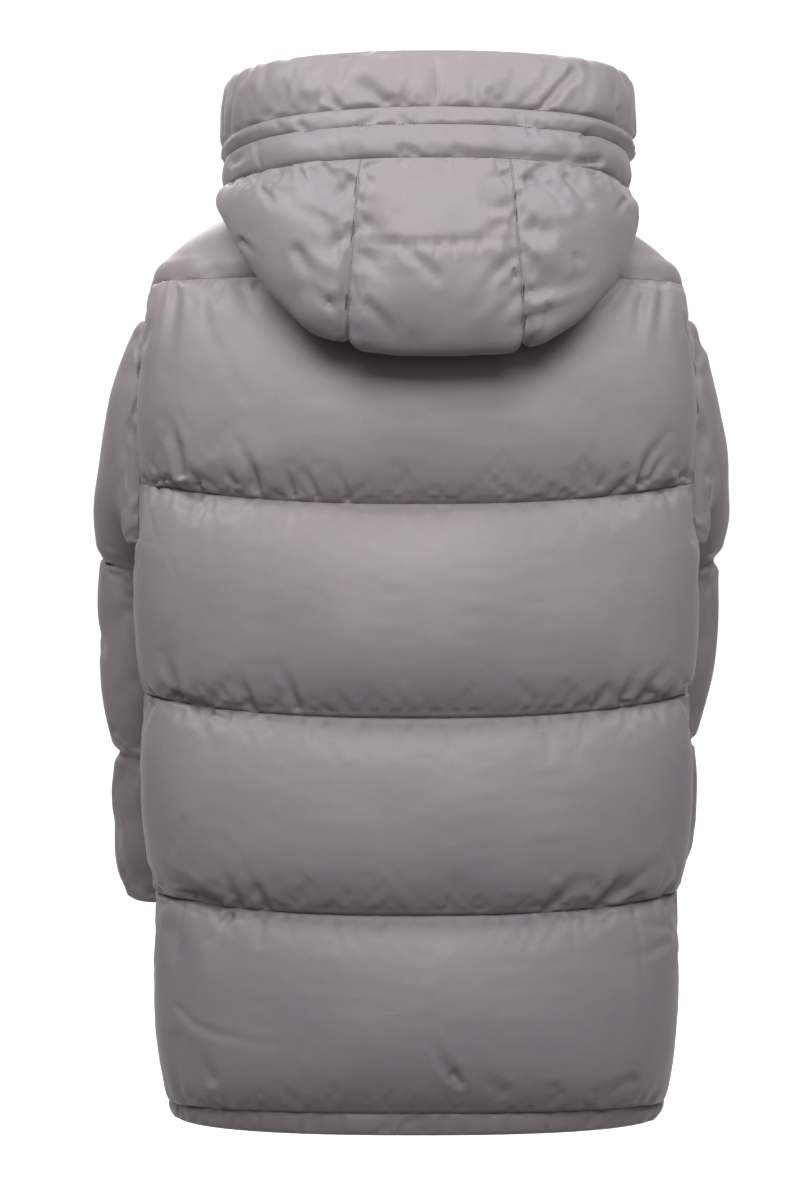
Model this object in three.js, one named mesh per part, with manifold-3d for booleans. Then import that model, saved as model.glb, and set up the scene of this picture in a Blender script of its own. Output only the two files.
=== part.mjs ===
// Long hooded puffer coat, hollow as if worn, zip closed and hood lying back.
// Millimetres, +Z up, the wearer's front towards -Y and the wearer's left towards +X.
// The origin is the middle of the neck opening at the height of the neck seam.
// Every cloth piece is a closed wall: a plain inside and an outside raised by its down filling.
import * as THREE from "three";
import { mergeVertices } from "three/addons/utils/BufferGeometryUtils.js";
import Module from "manifold-3d";

// Driving sizes
const WALL = 4; // flattened thickness at a stitched seam
const SEAM_GAP = 0.3; // between neighbouring pieces
const BODY_PUFF = 26; // rise of a body baffle over its seams
const YOKE_PUFF = 4;
const HEM_PUFF = 3;
const SLEEVE_PUFF = 12;
const HOOD_PUFF = 15;
const VISOR_PUFF = 8;
const CASING_PUFF = 4;
const BRIM_PUFF = 8;
const GATHER = 2.4; // height of the gathers beside a body seam
const GATHER_REACH = 34; // how far they run from it
const SOFT_EDGE = 125; // distance from an upright body seam to the full puff
const FRONT_HALF_GAP = 7; // from the centre front to a front's edge, where the zip shows
const QUARTER = Math.PI / 2;
const rad = THREE.MathUtils.degToRad;

// The body's rings at seam level, from hem to neck. half is the half width, mid the y of the widest
// point, back and front the y of the surface there, and each z is the ring's height at that place.
const BODY_RINGS = [
  { ring: "hem", half: 231, mid: 25, back: 150, front: -128, zSide: -896, zBack: -896, zFront: -896 },
  { ring: "hemSeam", half: 238, mid: 25, back: 153, front: -132, zSide: -879, zBack: -875, zFront: -878 },
  { ring: "skirtSeam", half: 250, mid: 25, back: 161, front: -138, zSide: -677, zBack: -691, zFront: -690 },
  { ring: "hipSeam", half: 261, mid: 25, back: 165, front: -142, zSide: -488, zBack: -509, zFront: -505 },
  { ring: "chestSeam", half: 266, mid: 25, back: 166, front: -143, zSide: -287, zBack: -312, zFront: -305 },
  { ring: "blade", half: 265, mid: 25, back: 160, front: -141, zSide: -190, zBack: -200, zFront: -200 },
  { ring: "yokeSeam", half: 256, mid: 23, back: 146, front: -135, zSide: -98, zBack: -100, zFront: -112 },
  { ring: "shoulder", half: 238, mid: 20, back: 138, front: -130, zSide: -74, zBack: -76, zFront: -98 },
  { ring: "slope", half: 207, mid: 15, back: 128, front: -125, zSide: -51, zBack: -52, zFront: -83 },
  { ring: "slopeTop", half: 166, mid: 8, back: 113, front: -119, zSide: -30, zBack: -31, zFront: -68 },
  { ring: "neckBase", half: 122, mid: 0, back: 95, front: -113, zSide: -12, zBack: -12, zFront: -55 },
  { ring: "neck", half: 86, mid: -5, back: 78, front: -108, zSide: 0, zBack: 0, zFront: -45 },
];

// The hood's rings, from the neck seam under the bag, round its bottom and up to the rim. square is the
// superellipse power of the plan behind, and sag that of the right side's droop, which hangs lower.
const HOOD_COLUMNS = ["ring", "half", "mid", "back", "front", "zSide", "zBack", "zFront", "square", "sag"];
const HOOD_RINGS = [
  ["neck", 86, -5, 78, -108, 0.7, 0.7, -44.3, 2.4, 1.7],
  ["rise", 104, 0, 106, -109, 11, 10, -38, 2.4, 1.7],
  ["under", 132, 8, 148, -110, 6, -26, -31, 2.5, 1.7],
  ["underLow", 158, 14, 187, -112, -2, -88, -24, 2.6, 1.6],
  ["lip", 173, 18, 213, -114, -9, -146, -17, 2.8, 1.4],
  ["bottom", 182, 20, 233, -116, -18, -168, -11, 2.9, 1.3],
  ["rear", 187, 20, 246, -117, -21, -143, -6, 2.9, 1.3],
  ["quilt", 190, 20, 250, -118, -18, -82, -2, 2.7, 1.4],
  ["visorSeam", 190, 19, 240, -119, -10, -4, 4, 2.5, 1.7],
  ["casingSeam", 188, 17, 231, -121, 20, 27, 17, 2.4, 1.7],
  ["brimSeam", 187, 16, 225, -122, 34, 44, 27, 2.4, 1.7],
  ["rim", 184, 13, 206, -124, 97, 98, 58, 2.4, 1.7],
].map((row) => Object.fromEntries(HOOD_COLUMNS.map((column, i) => [column, row[i]])));
const STRAIGHT_FROM = "hem"; // the ring whose rows run straight to the next one
const SQUARE = { back: 2.4, front: 1.8, drop: 1.7 }; // superellipse powers of plan and of seam sag
const HOOD_LEAN = { from: "neck", to: "bottom", x: -16 }; // how far the hood's back lies to one side
const HOOD_CENTRE_TURN = rad(16); // half the angle that the hood's centre strip takes

// The stitched lines of each piece, as rings of its table, with the rise between them.
const BAFFLES = {
  body: [
    { from: "hem", to: "hemSeam", puff: HEM_PUFF, steps: 2 },
    { from: "hemSeam", to: "skirtSeam", puff: BODY_PUFF, steps: 6 },
    { from: "skirtSeam", to: "hipSeam", puff: BODY_PUFF, steps: 6 },
    { from: "hipSeam", to: "chestSeam", puff: BODY_PUFF, steps: 6 },
    { from: "chestSeam", to: "yokeSeam", puff: BODY_PUFF, steps: 6 },
    { from: "yokeSeam", to: "neck", puff: YOKE_PUFF, steps: 5 },
  ],
  hood: [
    { from: "neck", to: "underLow", puff: 0, steps: 5 },
    { from: "underLow", to: "visorSeam", puff: HOOD_PUFF, steps: 9 },
    { from: "visorSeam", to: "casingSeam", puff: VISOR_PUFF, steps: 4 },
    { from: "casingSeam", to: "brimSeam", puff: CASING_PUFF, steps: 2 },
    { from: "brimSeam", to: "rim", puff: BRIM_PUFF, steps: 5 },
  ],
};

// The armhole on the body's side: its top and bottom heights, and its reach behind and before the side seam.
const ARMHOLE = { top: -130, bottom: -345, behind: 15, before: 112 };
const ARMHOLE_MIDDLE = (ARMHOLE.top + ARMHOLE.bottom) / 2;
const ARMHOLE_REACH = (ARMHOLE.top - ARMHOLE.bottom) / 2;

// Sleeve sections at the stitched lines: the middle, the flat tube's half thickness and half width, the
// turn of its width away from the body's side, how far its rear hangs and how far its outside is raised.
const SLEEVES = {
  left: [
    { at: "elbowSeam", x: 242, y: -128, z: -343, thick: 47, wide: 88, turn: 40, rearDown: 16, outUp: 14 },
    { at: "forearmSeam", x: 240, y: -182, z: -538, thick: 46, wide: 83, turn: 35, rearDown: 15, outUp: 5 },
    { at: "cuff", x: 242, y: -224, z: -694, thick: 43, wide: 72, turn: 32, rearDown: 14, outUp: 4 },
  ],
  right: [
    { at: "elbowSeam", x: 229, y: -137, z: -343, thick: 48, wide: 87, turn: 42, rearDown: 16, outUp: 14 },
    { at: "forearmSeam", x: 217, y: -190, z: -530, thick: 48, wide: 82, turn: 37, rearDown: 15, outUp: 5 },
    { at: "cuff", x: 217, y: -229, z: -686, thick: 45, wide: 71, turn: 34, rearDown: 14, outUp: 4 },
  ],
};

// Zip, with depths measured inwards from the seam-level cloth of the centre front
const TAPE = { from: 3.3, wide: 15, thick: 1, depth: WALL + 1.6, outerDepth: WALL + 3.4, steps: 30 };
const ZIP_TOP_DROP = 8; // the tapes end this far under the rim
const ZIP_BOTTOM_RISE = 8; // and start this far over the hem
const SLIDER = { z: 30, wide: 10, tall: 17, plate: 2, backPlate: 1.6, link: 3, gap: 0.9 };
const CROWN = { wide: 2.4, half: 5.4, post: 1.4, clear: 3, thick: 2 }; // the arch that holds the tab
const TAB = { wide: 9, long: 36, thick: 1.5, bar: 1.5, window: 8, windowWide: 4.2 };

// Cloth and metal colours
const SHELL_CLOTH = new THREE.MeshStandardMaterial({ color: 0x9a9296, roughness: 0.5, metalness: 0 });
const TAPE_CLOTH = new THREE.MeshStandardMaterial({ color: 0x6f696d, roughness: 0.8, metalness: 0 });
const METAL = new THREE.MeshStandardMaterial({ color: 0x8d8a8c, roughness: 0.35, metalness: 1 });

const manifold = await Module();
manifold.setup();
const coat = new THREE.Group();
coat.name = "long_puffer_coat";

/** Adds one closed mesh to the coat under its piece's name. */
function addPiece(name, geometry, material) {
  const mesh = new THREE.Mesh(geometry, material);
  mesh.name = name;
  coat.add(mesh);
}

/** A number's power that keeps its sign. */
function signedPower(value, power) {
  return Math.sign(value) * Math.abs(value) ** power;
}

/** A column of a ring table at a fractional row, on a smooth curve through the rows. */
function column(rings, key, row) {
  const last = rings.length - 1;
  const i = Math.min(Math.max(Math.floor(row), 0), last - 1);
  const t = row - i;
  const value = (k) => rings[Math.min(Math.max(k, 0), last)][key];
  const [a, b, c, d] = [value(i - 1), value(i), value(i + 1), value(i + 2)];
  const slopeIn = i === 0 ? c - b : (c - a) / 2;
  const slopeOut = i + 1 === last || rings[i].ring === STRAIGHT_FROM ? c - b : (d - b) / 2;
  const t2 = t * t;
  const t3 = t2 * t;
  const before = (2 * t3 - 3 * t2 + 1) * b + (t3 - 2 * t2 + t) * slopeIn;
  return before + (3 * t2 - 2 * t3) * c + (t3 - t2) * slopeOut;
}

/** A surface through a ring table. A turn is 0 behind, a quarter at +X and a half at the front. */
class RingSurface {
  constructor(rings) {
    this.rings = rings;
    this.hasOwnSag = "sag" in rings[0];
  }

  backPower(row) {
    return this.hasOwnSag ? column(this.rings, "square", row) : SQUARE.back;
  }

  /** How far the hood lies to one side at a row, where c is the turn's cosine. */
  lean(row, c) {
    if (!this.hasOwnSag) return 0;
    const share = THREE.MathUtils.smoothstep(row, this.row(HOOD_LEAN.from), this.row(HOOD_LEAN.to));
    return (HOOD_LEAN.x * share * (1 + c)) / 2;
  }

  row(ring) {
    return this.rings.findIndex((r) => r.ring === ring);
  }

  point(row, turn) {
    const { rings } = this;
    const c = Math.cos(turn);
    const behind = c >= 0;
    const power = 2 / (behind ? this.backPower(row) : SQUARE.front);
    const isSagging = this.hasOwnSag && behind && Math.sin(turn) < 0;
    const drop = isSagging ? column(rings, "sag", row) : SQUARE.drop;
    const mid = column(rings, "mid", row);
    const end = column(rings, behind ? "back" : "front", row);
    const zSide = column(rings, "zSide", row);
    const zEnd = column(rings, behind ? "zBack" : "zFront", row);
    return new THREE.Vector3(
      column(rings, "half", row) * signedPower(Math.sin(turn), power) + this.lean(row, c),
      mid + (end - mid) * Math.abs(c) ** power,
      zSide + (zEnd - zSide) * Math.abs(c) ** drop,
    );
  }

  /** The outward normal, and the unit direction along the rows towards the last ring. */
  frame(row, turn) {
    const step = 0.02;
    const along = this.point(row + step, turn).sub(this.point(row - step, turn));
    const round = this.point(row, turn + step).sub(this.point(row, turn - step));
    const normal = new THREE.Vector3().crossVectors(along, round).normalize();
    return { normal, along: along.normalize() };
  }

  /** Turns from edge to edge with equal lengths of cloth between them, and each one's arc length. */
  evenTurns(row, from, to, count) {
    const fine = 160;
    const lengths = [0];
    let last = this.point(row, from);
    for (let i = 1; i <= fine; i++) {
      const next = this.point(row, from + ((to - from) * i) / fine);
      lengths.push(lengths[i - 1] + next.distanceTo(last));
      last = next;
    }
    const total = lengths[fine];
    const turns = [];
    for (let k = 0, i = 0; k <= count; k++) {
      const want = (total * k) / count;
      while (i < fine - 1 && lengths[i + 1] < want) i++;
      const share = (want - lengths[i]) / (lengths[i + 1] - lengths[i]);
      turns.push({ turn: from + ((to - from) * (i + share)) / fine, arc: want, total });
    }
    return turns;
  }

  /** The turn at which the left edge beside the zip runs. */
  frontEdge(row) {
    const share = FRONT_HALF_GAP / column(this.rings, "half", row);
    return Math.PI - Math.asin(share ** (SQUARE.front / 2));
  }
}

const body = new RingSurface(BODY_RINGS);
const hood = new RingSurface(HOOD_RINGS);

/** The rise of a filled baffle, 0 at both seams and fullest a little below its middle. */
function pillow(share) {
  const low = THREE.MathUtils.clamp(share, 0, 1) ** 0.8;
  return Math.max(Math.sin(Math.PI * low), 0) ** 0.65;
}

/** The rise beside an upright seam, from 0 on it to 1 at its reach. */
function softEdge(distance, reach, power = 0.7) {
  return Math.sin(QUARTER * THREE.MathUtils.clamp(distance / reach, 0, 1)) ** power;
}

/** A smooth bump that is 1 from low to high and falls to 0 over the fade on each side. */
function band(value, low, high, fade) {
  const { smoothstep } = THREE.MathUtils;
  return smoothstep(value, low - fade, low) * (1 - smoothstep(value, high, high + fade));
}

/** Collects triangles between rows of points and closes them to a solid. */
class Shell {
  constructor() {
    this.points = [];
    this.faces = [];
  }

  addGrid(rows, closed) {
    const ids = rows.map((row) => row.map((p) => this.points.push(p) - 1));
    if (closed) ids.forEach((row) => row.push(row[0]));
    return ids;
  }

  fill(ids, flip) {
    for (let i = 0; i + 1 < ids.length; i++) {
      for (let j = 0; j + 1 < ids[i].length; j++) {
        const [a, b, c, d] = [ids[i][j], ids[i][j + 1], ids[i + 1][j + 1], ids[i + 1][j]];
        const pair = (i + j) % 2 === 0 ? [[a, b, c], [a, c, d]] : [[a, b, d], [b, c, d]];
        pair.forEach(([p, q, r]) => this.faces.push(flip ? [p, r, q] : [p, q, r]));
      }
    }
  }

  /** Joins two edges that run side by side, whatever number of points each one has. */
  join(first, second, flip) {
    let i = 0;
    let j = 0;
    while (i + 1 < first.length || j + 1 < second.length) {
      const nextFirst = (i + 1) / (first.length - 1);
      const nextSecond = (j + 1) / (second.length - 1);
      const ahead = j + 1 >= second.length || (i + 1 < first.length && nextFirst <= nextSecond + 1e-9);
      const [a, b, c] = [first[i], second[j], ahead ? first[++i] : second[++j]];
      this.faces.push(flip ? [a, c, b] : [a, b, c]);
    }
  }

  geometry() {
    const position = new THREE.Float32BufferAttribute(this.points.flatMap((p) => p.toArray()), 3);
    const geometry = new THREE.BufferGeometry().setAttribute("position", position);
    const volume = this.faces.reduce((sum, [a, b, c]) => {
      const [p, q, r] = [this.points[a], this.points[b], this.points[c]];
      return sum + p.dot(new THREE.Vector3().crossVectors(q, r));
    }, 0);
    const order = volume < 0 ? this.faces.map(([a, b, c]) => [a, c, b]) : this.faces;
    geometry.setIndex(order.flat());
    geometry.computeVertexNormals();
    return geometry;
  }
}

/** A wall between an outer and an inner grid of points. A closed one is a tube, with its rows as rings. */
function wall(outerRows, innerRows, closed = false) {
  const shell = new Shell();
  const outer = shell.addGrid(outerRows, closed);
  const inner = shell.addGrid(innerRows, closed);
  shell.fill(outer, false);
  shell.fill(inner, true);
  shell.join(inner[0], outer[0], true);
  shell.join(inner.at(-1), outer.at(-1), false);
  if (!closed) {
    shell.join(inner.map((row) => row[0]), outer.map((row) => row[0]), false);
    shell.join(inner.map((row) => row.at(-1)), outer.map((row) => row.at(-1)), true);
  }
  return shell.geometry();
}

/** The baffle of a list that holds a row, with the row's share of it and the lengths to its two seams. */
function baffleAt(surface, baffles, row) {
  const found = baffles.find((b) => row <= surface.row(b.to) + 1e-9) ?? baffles.at(-1);
  const [from, to] = [surface.row(found.from), surface.row(found.to)];
  const share = (row - from) / (to - from);
  const tall = Math.abs(column(surface.rings, "zBack", to) - column(surface.rings, "zBack", from));
  return { ...found, share, toLow: share * tall, toHigh: (1 - share) * tall };
}

/** The rows of a piece from one ring to another, with extra ones where an edge curves fast. */
function rowPlaces(surface, baffles, from, to, extra = []) {
  const [low, high] = [surface.row(from), surface.row(to)];
  const places = [low];
  for (const baffle of baffles) {
    const [a, b] = [surface.row(baffle.from), surface.row(baffle.to)];
    if (a < low || b > high) continue;
    const step = (b - a) / baffle.steps;
    for (let i = 1; i < baffle.steps; i++) {
      const place = a + step * i;
      if (extra.every((e) => Math.abs(e - place) > 0.3 * step)) places.push(place);
    }
    places.push(b);
  }
  return [...places, ...extra.filter((e) => e > low && e < high)].sort((a, b) => a - b);
}

/**
 * One cloth piece of a ring surface. edges(row) gives its first and last turn, rise(facts) the filling's
 * height at a point, and flat says which end rows are cut level instead of square to the cloth.
 */
function ringPiece(surface, { rows, innerRows = rows, edges, across, innerAcross, rise, flat = {} }) {
  const first = rows[0];
  const last = rows.at(-1);
  const grid = (places, count, place) =>
    places.map((row) => surface.evenTurns(row, ...edges(row), count).map((at) => place(row, at)));
  const seamShift = (row, at, along) => {
    const shift = new THREE.Vector3();
    if (row === first) shift.addScaledVector(along, SEAM_GAP / 2);
    if (row === last) shift.addScaledVector(along, -SEAM_GAP / 2);
    const [from, to] = edges(row);
    const step = 0.01 * Math.sign(to - from);
    const round = surface.point(row, at.turn + step).sub(surface.point(row, at.turn - step)).normalize();
    if (at.arc === 0) shift.addScaledVector(round, SEAM_GAP / 2);
    if (at.arc === at.total) shift.addScaledVector(round, -SEAM_GAP / 2);
    return shift;
  };
  const outer = (row, at) => {
    const { normal, along } = surface.frame(row, at.turn);
    const height = rise({ row, turn: at.turn, arc: at.arc, total: at.total });
    return surface.point(row, at.turn).addScaledVector(normal, height).add(seamShift(row, at, along));
  };
  const inner = (row, at) => {
    const { normal, along } = surface.frame(row, at.turn);
    const isFlat = (row === last && flat.last) || (row === first && flat.first);
    if (isFlat) normal.setZ(0).normalize();
    return surface.point(row, at.turn).addScaledVector(normal, -WALL).add(seamShift(row, at, along));
  };
  return wall(grid(rows, across, outer), grid(innerRows, innerAcross, inner));
}

/** The turn at which a body row meets the armhole's edge, before (1) or behind (-1) the side seam. */
function armholeTurn(row, before) {
  let turn = QUARTER;
  for (let i = 0; i < 6; i++) {
    const height = (body.point(row, turn).z - ARMHOLE_MIDDLE) / ARMHOLE_REACH;
    if (Math.abs(height) >= 1) return QUARTER;
    turn = turnAtReach(row, before, Math.sqrt(1 - height * height));
  }
  return turn;
}

/** The turn that lies a share of the armhole's reach before (1) or behind (-1) the side seam. */
function turnAtReach(row, before, share) {
  const wide = share * (before > 0 ? ARMHOLE.before : ARMHOLE.behind);
  const mid = column(BODY_RINGS, "mid", row);
  const end = column(BODY_RINGS, before > 0 ? "front" : "back", row);
  const power = (before > 0 ? SQUARE.front : SQUARE.back) / 2;
  return QUARTER + before * Math.asin(Math.min(wide / Math.abs(end - mid), 1) ** power);
}

/** The body row whose side seam is at a height. */
function rowAtSideHeight(z) {
  let [low, high] = [0, BODY_RINGS.length - 1];
  for (let i = 0; i < 40; i++) {
    const row = (low + high) / 2;
    if (column(BODY_RINGS, "zSide", row) < z) low = row;
    else high = row;
  }
  return (low + high) / 2;
}

// Rows close to the armhole's top and bottom, where its edge curves fast
const ARMHOLE_ROWS = [-0.5, 3, 12, 30].flatMap((d) => [
  rowAtSideHeight(ARMHOLE.top - d),
  rowAtSideHeight(ARMHOLE.bottom + d),
]);

/** How far a sleeve flattens the front beside it, from 0 where the front is free to 1 where they touch. */
function pressedBySleeve(turn, z) {
  return 0.9 * band(turn, rad(88), rad(140), rad(14)) * band(z, -760, -330, 60);
}

/** Gathers beside the seams at both ends of a baffle, softly uneven along it. */
function gathers(arc, toLow, toHigh, phase) {
  const near = Math.exp(-toLow / GATHER_REACH) + 0.8 * Math.exp(-toHigh / GATHER_REACH);
  return GATHER * near * (Math.cos(arc / 11.5 + phase) + 0.6 * Math.cos(arc / 8.3 + 2 * phase));
}

function bodyRise({ row, turn, arc, total }) {
  const { puff, share, toLow, toHigh } = baffleAt(body, BAFFLES.body, row);
  const toEdge = Math.min(arc, total - arc);
  const edge = puff > HEM_PUFF ? softEdge(toEdge, SOFT_EDGE, 1.4) : softEdge(toEdge, 20);
  const isPlain = puff < BODY_PUFF;
  const pleats = isPlain ? 0 : gathers(arc, toLow, toHigh, row) * Math.min(edge, 4 * share, 4 * (1 - share));
  const free = 1 - pressedBySleeve(Math.abs(turn), column(BODY_RINGS, "zSide", row));
  return Math.max((puff * pillow(share) * edge + pleats) * free, 0);
}

function buildBody() {
  const backEdges = (row) => [-armholeTurn(row, -1), armholeTurn(row, -1)];
  const cuts = [
    { name: "back", from: "hemSeam", to: "yokeSeam", edges: backEdges, across: 26, innerAcross: 13 },
    { name: "back_yoke", from: "yokeSeam", to: "neck", edges: backEdges, across: 26, innerAcross: 13 },
    { name: "hem_back", from: "hem", to: "hemSeam", edges: backEdges, across: 26, innerAcross: 13 },
  ];
  for (const [name, side] of [["left", 1], ["right", -1]]) {
    const edges = (row) => [side * armholeTurn(row, 1), side * body.frontEdge(row)];
    cuts.push(
      { name: `front_${name}`, from: "hemSeam", to: "neck", edges, across: 12, innerAcross: 6 },
      { name: `hem_front_${name}`, from: "hem", to: "hemSeam", edges, across: 12, innerAcross: 6 },
    );
  }
  for (const { name, from, to, ...cut } of cuts) {
    const rows = rowPlaces(body, BAFFLES.body, from, to, ARMHOLE_ROWS);
    const plain = BAFFLES.body.map((baffle) => {
      return { ...baffle, steps: baffle.puff < BODY_PUFF ? baffle.steps : baffle.steps / 2 };
    });
    const innerRows = rowPlaces(body, plain, from, to, ARMHOLE_ROWS);
    const flat = { last: to === "neck" };
    addPiece(name, ringPiece(body, { rows, innerRows, ...cut, rise: bodyRise, flat }), SHELL_CLOTH);
  }
}

/** A sleeve section's middle and axes: out from the body, to the rear, and down the sleeve. */
function sectionFrame(side, s) {
  const turn = rad(s.turn);
  const out = new THREE.Vector3(side * Math.cos(turn), -Math.sin(turn), Math.tan(rad(s.outUp))).normalize();
  const rear = new THREE.Vector3(side * Math.sin(turn), Math.cos(turn), -Math.tan(rad(s.rearDown)));
  rear.addScaledVector(out, -rear.dot(out)).normalize();
  const down = new THREE.Vector3().crossVectors(rear, out);
  if (down.z > 0) down.negate();
  return { middle: new THREE.Vector3(side * s.x, s.y, s.z), out, rear, down };
}

/** A point of a sleeve section. angle is 0 on its outside and a quarter at its rear. */
function sectionPoint(side, section, angle) {
  const { middle, out, rear } = sectionFrame(side, section);
  const power = 0.9;
  return middle
    .addScaledVector(out, section.thick * signedPower(Math.cos(angle), power))
    .addScaledVector(rear, section.wide * signedPower(Math.sin(angle), power));
}

/** A point of the armhole's edge with the body's outward normal there. angle is 0 at its top. */
function armholePoint(side, angle) {
  const inset = 0.985;
  const z = ARMHOLE_MIDDLE + inset * ARMHOLE_REACH * Math.cos(angle);
  const before = Math.sin(angle) > 0 ? -1 : 1;
  let turn = QUARTER;
  let row = rowAtSideHeight(z);
  for (let i = 0; i < 12; i++) {
    turn = turnAtReach(row, before, inset * Math.abs(Math.sin(angle)));
    row += (z - body.point(row, turn).z) / 110;
  }
  return { point: body.point(row, side * turn), normal: body.frame(row, side * turn).normal };
}

/** The sleeve's seam-level cloth. A place of 0 is the armhole, and 1, 2 and 3 are its sections. */
function sleevePoint(side, sections, angle, place) {
  const k = Math.min(Math.max(Math.ceil(place) - 1, 0), 2);
  const share = place - k;
  const end = sectionPoint(side, sections[k], angle);
  if (k > 0) return sectionPoint(side, sections[k - 1], angle).lerp(end, share);
  const { point, normal } = armholePoint(side, angle);
  const { down } = sectionFrame(side, sections[0]);
  const length = point.distanceTo(end);
  const under = Math.max(-Math.cos(angle), 0);
  const [t, t2, t3] = [share, share ** 2, share ** 3];
  return new THREE.Vector3()
    .addScaledVector(point.addScaledVector(normal, 0.5), 2 * t3 - 3 * t2 + 1)
    .addScaledVector(normal, ((0.2 + 0.3 * under) * length + 20 + 86 * under) * (t3 - 2 * t2 + t))
    .addScaledVector(end, 3 * t2 - 2 * t3)
    .addScaledVector(down, 0.9 * length * (t3 - t2));
}

/** A sleeve as one tube of three baffles, flatter where it lies along the body. */
function sleeveGeometry(side, sections) {
  const around = 20;
  const steps = 18;
  const cloth = (angle, place) => sleevePoint(side, sections, angle, THREE.MathUtils.clamp(place, 0, 3));
  const rings = (count, height) =>
    Array.from({ length: count + 1 }, (_, i) => {
      const place = (3 * i) / count;
      const angles = Array.from({ length: around }, (_, k) => (2 * Math.PI * k) / around);
      return angles.map((angle) => {
        const round = cloth(angle + 0.03, place).sub(cloth(angle - 0.03, place));
        const along = cloth(angle, place + 0.02).sub(cloth(angle, place - 0.02));
        const normal = new THREE.Vector3().crossVectors(along, round).normalize().multiplyScalar(side);
        return cloth(angle, place).addScaledVector(normal, height(angle, place));
      });
    });
  const rise = (angle, place) => {
    const share = place === 3 ? 1 : place % 1;
    const free = 0.2 + 0.8 * THREE.MathUtils.smoothstep(Math.cos(angle), -0.75, 0.1);
    return SLEEVE_PUFF * pillow(1 - share) * free;
  };
  return wall(rings(steps, rise), rings(steps / 2, () => -WALL), true);
}

/** The hood's filling: flat where it lies on the yoke, full behind and less at the sides. */
function hoodRise({ row, turn, arc, total }) {
  const { puff, share, from } = baffleAt(hood, BAFFLES.hood, row);
  const behind = Math.sqrt(Math.max(Math.cos(turn), 0));
  const inBag = from === "underLow";
  const edge = softEdge(Math.min(arc, total - arc), inBag ? 40 : 18);
  return puff * pillow(share) * edge * (inBag ? 0.45 + 0.55 * behind : 1);
}

function buildHood() {
  const cuts = [
    {
      name: "hood_centre",
      from: "neck",
      to: "visorSeam",
      edges: () => [-HOOD_CENTRE_TURN, HOOD_CENTRE_TURN],
      across: 6,
    },
    {
      name: "hood_band",
      from: "visorSeam",
      to: "brimSeam",
      edges: (row) => [-hood.frontEdge(row), hood.frontEdge(row)],
      across: 40,
    },
  ];
  for (const [name, side] of [["left", 1], ["right", -1]]) {
    cuts.push(
      {
        name: `hood_side_${name}`,
        from: "neck",
        to: "visorSeam",
        edges: (row) => [side * HOOD_CENTRE_TURN, side * hood.frontEdge(row)],
        across: 19,
      },
      {
        name: `brim_${name}`,
        from: "brimSeam",
        to: "rim",
        edges: (row) => [0, side * hood.frontEdge(row)],
        across: 20,
      },
    );
  }
  for (const { name, from, to, ...cut } of cuts) {
    const rows = rowPlaces(hood, BAFFLES.hood, from, to);
    const flat = { first: from === "neck" };
    const piece = { rows, ...cut, innerAcross: cut.across, rise: hoodRise, flat };
    addPiece(name, ringPiece(hood, piece), SHELL_CLOTH);
  }
}

/** The seam-level line beside the zip at a distance from the centre front, from hem to rim. */
function frontLine(x) {
  const line = [];
  for (const surface of [body, hood]) {
    const last = surface.rings.length - 1;
    for (let i = 0; i <= 3 * last; i++) {
      const row = i / 3;
      const share = x / column(surface.rings, "half", row);
      line.push(surface.point(row, Math.PI - Math.asin(share ** (SQUARE.front / 2))));
    }
  }
  return line.sort((a, b) => a.z - b.z);
}

/** The y of a front line at a height, taken a little above and below so that it runs smoothly. */
function lineY(line, z) {
  const at = (height) => {
    const above = line.findIndex((p) => p.z > height);
    const i = above < 0 ? line.length - 1 : Math.max(above, 1);
    const [a, b] = [line[i - 1], line[i]];
    return a.y + ((b.y - a.y) * (height - a.z)) / (b.z - a.z);
  };
  return (at(z - 6) + 2 * at(z) + at(z + 6)) / 4;
}

/** Two tapes behind the fronts' edges, each made from the cloth's own points moved in. */
function buildTapes() {
  const low = BODY_RINGS[0].zFront + ZIP_BOTTOM_RISE;
  const high = HOOD_RINGS.at(-1).zFront - ZIP_TOP_DROP;
  const heights = Array.from({ length: TAPE.steps + 1 }, (_, i) => low + ((high - low) * i) / TAPE.steps);
  const edges = [TAPE.from, TAPE.from + TAPE.wide];
  const lines = edges.map(frontLine);
  for (const [name, side] of [["left", 1], ["right", -1]]) {
    const sheet = (behind) =>
      heights.map((z) =>
        edges.map((x, i) => {
          const slope = (lineY(lines[i], z + 5) - lineY(lines[i], z - 5)) / 10;
          const back = (behind + (i ? TAPE.outerDepth : TAPE.depth)) * Math.hypot(1, slope);
          return new THREE.Vector3(side * x, lineY(lines[i], z) + back, z);
        }),
      );
    addPiece(`zip_tape_${name}`, wall(sheet(0), sheet(TAPE.thick)), TAPE_CLOTH);
  }
}

/** Turns a joined solid into a mesh's geometry, placed on the zip's line at the slider. */
function solidGeometry(solid) {
  const mesh = solid.getMesh();
  const geometry = new THREE.BufferGeometry()
    .setAttribute("position", new THREE.Float32BufferAttribute(mesh.vertProperties, 3))
    .setIndex([...mesh.triVerts]);
  geometry.computeVertexNormals();
  return geometry;
}

/** A box between two corners, as a solid that can be joined. */
function block(low, high) {
  const box = new THREE.BoxGeometry(...high.map((v, i) => v - low[i]));
  box.translate(...high.map((v, i) => (v + low[i]) / 2));
  box.deleteAttribute("normal").deleteAttribute("uv");
  const merged = mergeVertices(box);
  const vertProperties = merged.attributes.position.array;
  const triVerts = new Uint32Array(merged.index.array);
  return new manifold.Manifold(new manifold.Mesh({ numProp: 3, vertProperties, triVerts }));
}

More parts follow.
